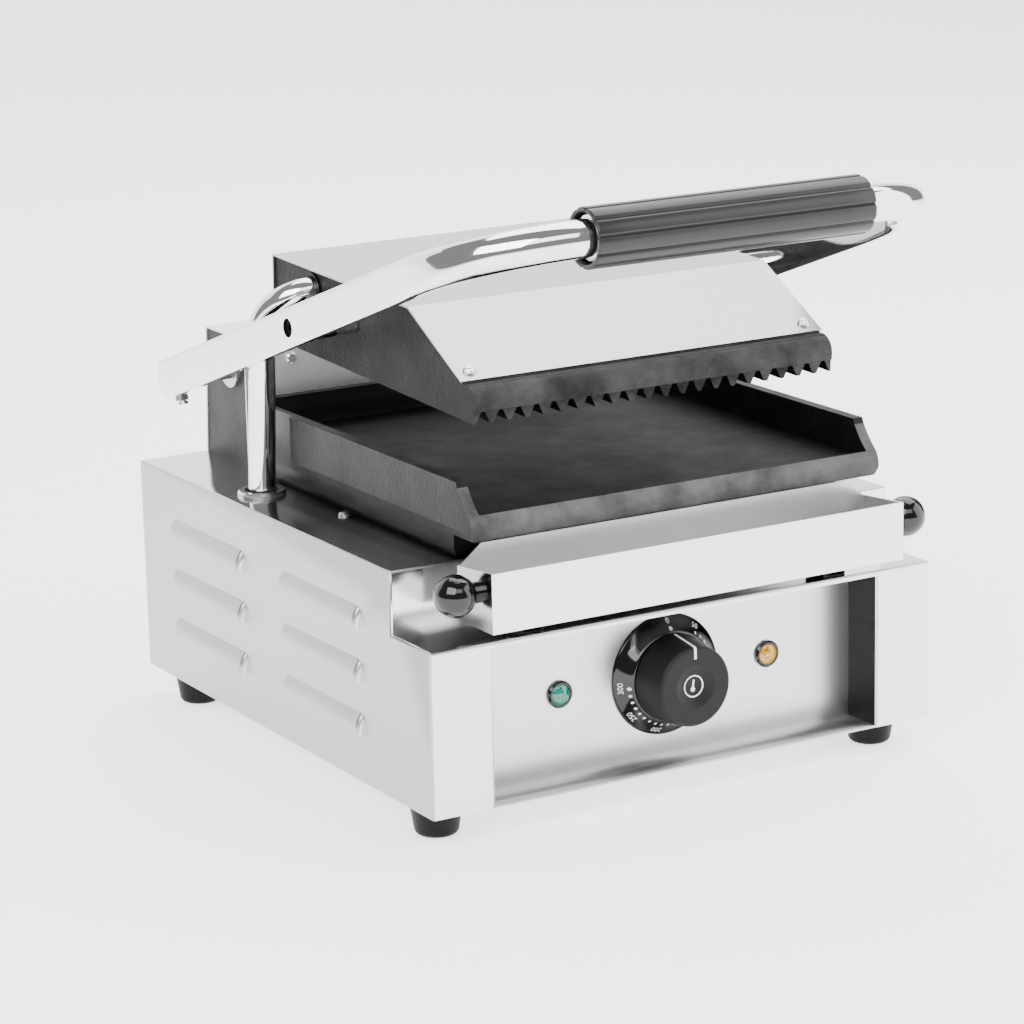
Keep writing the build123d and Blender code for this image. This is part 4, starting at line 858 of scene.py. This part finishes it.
# ---- stage ----
def stage_floor():
    """A pale floor that sweeps up behind: flat, then a quarter circle, then upright."""
    depth, radius, near_edge, top, half_width = 3.0, 1.6, -5.0, 5.0, 6.0
    angle = np.linspace(0, np.pi / 2, 24)
    y = np.concatenate([[near_edge], depth + radius * np.sin(angle), [depth + radius]])
    z = np.concatenate([[0.0], radius * (1 - np.cos(angle)), [top]])
    x, y = np.meshgrid([-half_width, half_width], y)
    points = np.stack([x, y, np.repeat(z[:, None], 2, 1)], -1)
    mesh = bpy.data.meshes.new("studio_floor")
    faces = grid_faces(len(z), 2, closed_columns=False)
    mesh.from_pydata(points.reshape(-1, 3).tolist(), [], faces.tolist())
    mesh.shade_smooth()
    floor = add_object("studio_floor", mesh)
    material, tree, shader = new_material("studio_paper")
    shader.inputs["Base Color"].default_value = (0.95, 0.95, 0.95, 1)
    shader.inputs["Roughness"].default_value = 0.9
    shader.inputs["Emission Color"].default_value = (1, 1, 1, 1)
    shader.inputs["Emission Strength"].default_value = 1.5
    mesh.materials.append(material)


def light(name, size, power, place, target):
    """A soft rectangular light at a place, turned towards its target."""
    data = bpy.data.lights.new(name, "AREA")
    data.shape = "RECTANGLE"
    data.size, data.size_y = size
    data.energy = power
    obj = add_object(name, data)
    obj.location = place
    obj.rotation_euler = (Vector(target) - Vector(place)).to_track_quat("-Z", "Y").to_euler()


def studio():
    """The floor, a weak white sky and four soft lights."""
    stage_floor()
    world = bpy.data.worlds.new("studio")
    bpy.context.scene.world = world
    world.use_nodes = True
    world.node_tree.nodes["Background"].inputs["Color"].default_value = (1, 1, 1, 1)
    world.node_tree.nodes["Background"].inputs["Strength"].default_value = 0.3
    for name, size, power, place in (
        ("key", (1.8, 1.4), 64, (-1.5, -1.1, 1.6)),
        ("fill", (2.6, 2.2), 70, (2.1, -1.2, 1.1)),
        ("top", (2.6, 2.2), 95, (0.9, 0.7, 2.4)),
        ("front", (2.6, 1.1), 34, (-0.5, -2.5, 2.1)),
    ):
        light(name, size, power, place, target=(0, 0, 0.15))


def camera():
    """Seen from the front left and a little above, with a long lens."""
    place = Vector((-0.9781, -1.6491, 0.6119))
    right = Vector((0.86098, -0.50818, -0.02174))
    up = Vector((0.14331, 0.20135, 0.96900))
    back = Vector((-0.48804, -0.83739, 0.24618))
    data = bpy.data.cameras.new("camera")
    data.sensor_width = 36.0
    data.lens = 125.66
    obj = add_object("camera", data)
    turn = Matrix((right, up, back)).transposed().to_4x4()
    obj.matrix_world = Matrix.Translation(place) @ turn
    bpy.context.scene.camera = obj


finish_cad()
for side, name in ((-1, "left"), (1, "right")):
    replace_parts(arm(side, f"arm_{name}_finished"), f"arm_{name}")
    tray_ball(side, f"tray_knob_{name}")
grip()
wiring_tube()
dial_bezel()
thermostat_knob()
knob_pointer()
knob_mark()
scale_dots()
for value, clockwise in scale_angles.items():
    scale_number(value, clockwise)
lamp_lens("green_lamp_lens", green_glass)
lamp_lens("amber_lamp_lens", amber_glass)
for corner in ("front_left", "front_right", "rear_left", "rear_right"):
    foot(f"foot_{corner}")
for node in (
    "spring_housing", "upper_cover", "wiring_tube_gland", "hanger_spacers", "hinge_bracket_left",
    "hinge_bracket_right", "handle_rod", "grip_ferrules", "green_lamp_body", "amber_lamp_body",
    "cord_inlet",
):
    tidy_copy(node)
# The casing's up, forward and riser faces get the painted light and shade copies of its steel.
tidy_copy("casing", [(faces_up, casing_top_shaded_steel), (faces_forward, casing_front_lit_steel), (on_the_riser, casing_riser_lit_steel)])
# The tray's end faces and its underside get painted shade.
tidy_copy("drip_tray", [(faces_sideways, tray_end_painted_shade_steel), (under_the_tray, painted_shade_steel)])
# The panel's recess floor gets painted light and shade, and its side returns painted shade.
tidy_copy("control_panel", [(faces_up, recess_floor_painted_light_steel), (faces_sideways, painted_shade_steel)])
# The deck's upward faces get painted shade and the lip a painted highlight.
tidy_copy("lower_plate", [(faces_up, deck_painted_shade_iron), (on_the_lip, lip_painted_highlight_iron)])
tidy_copy("upper_plate", [(on_the_nose, nose_iron)])
studio()
camera()
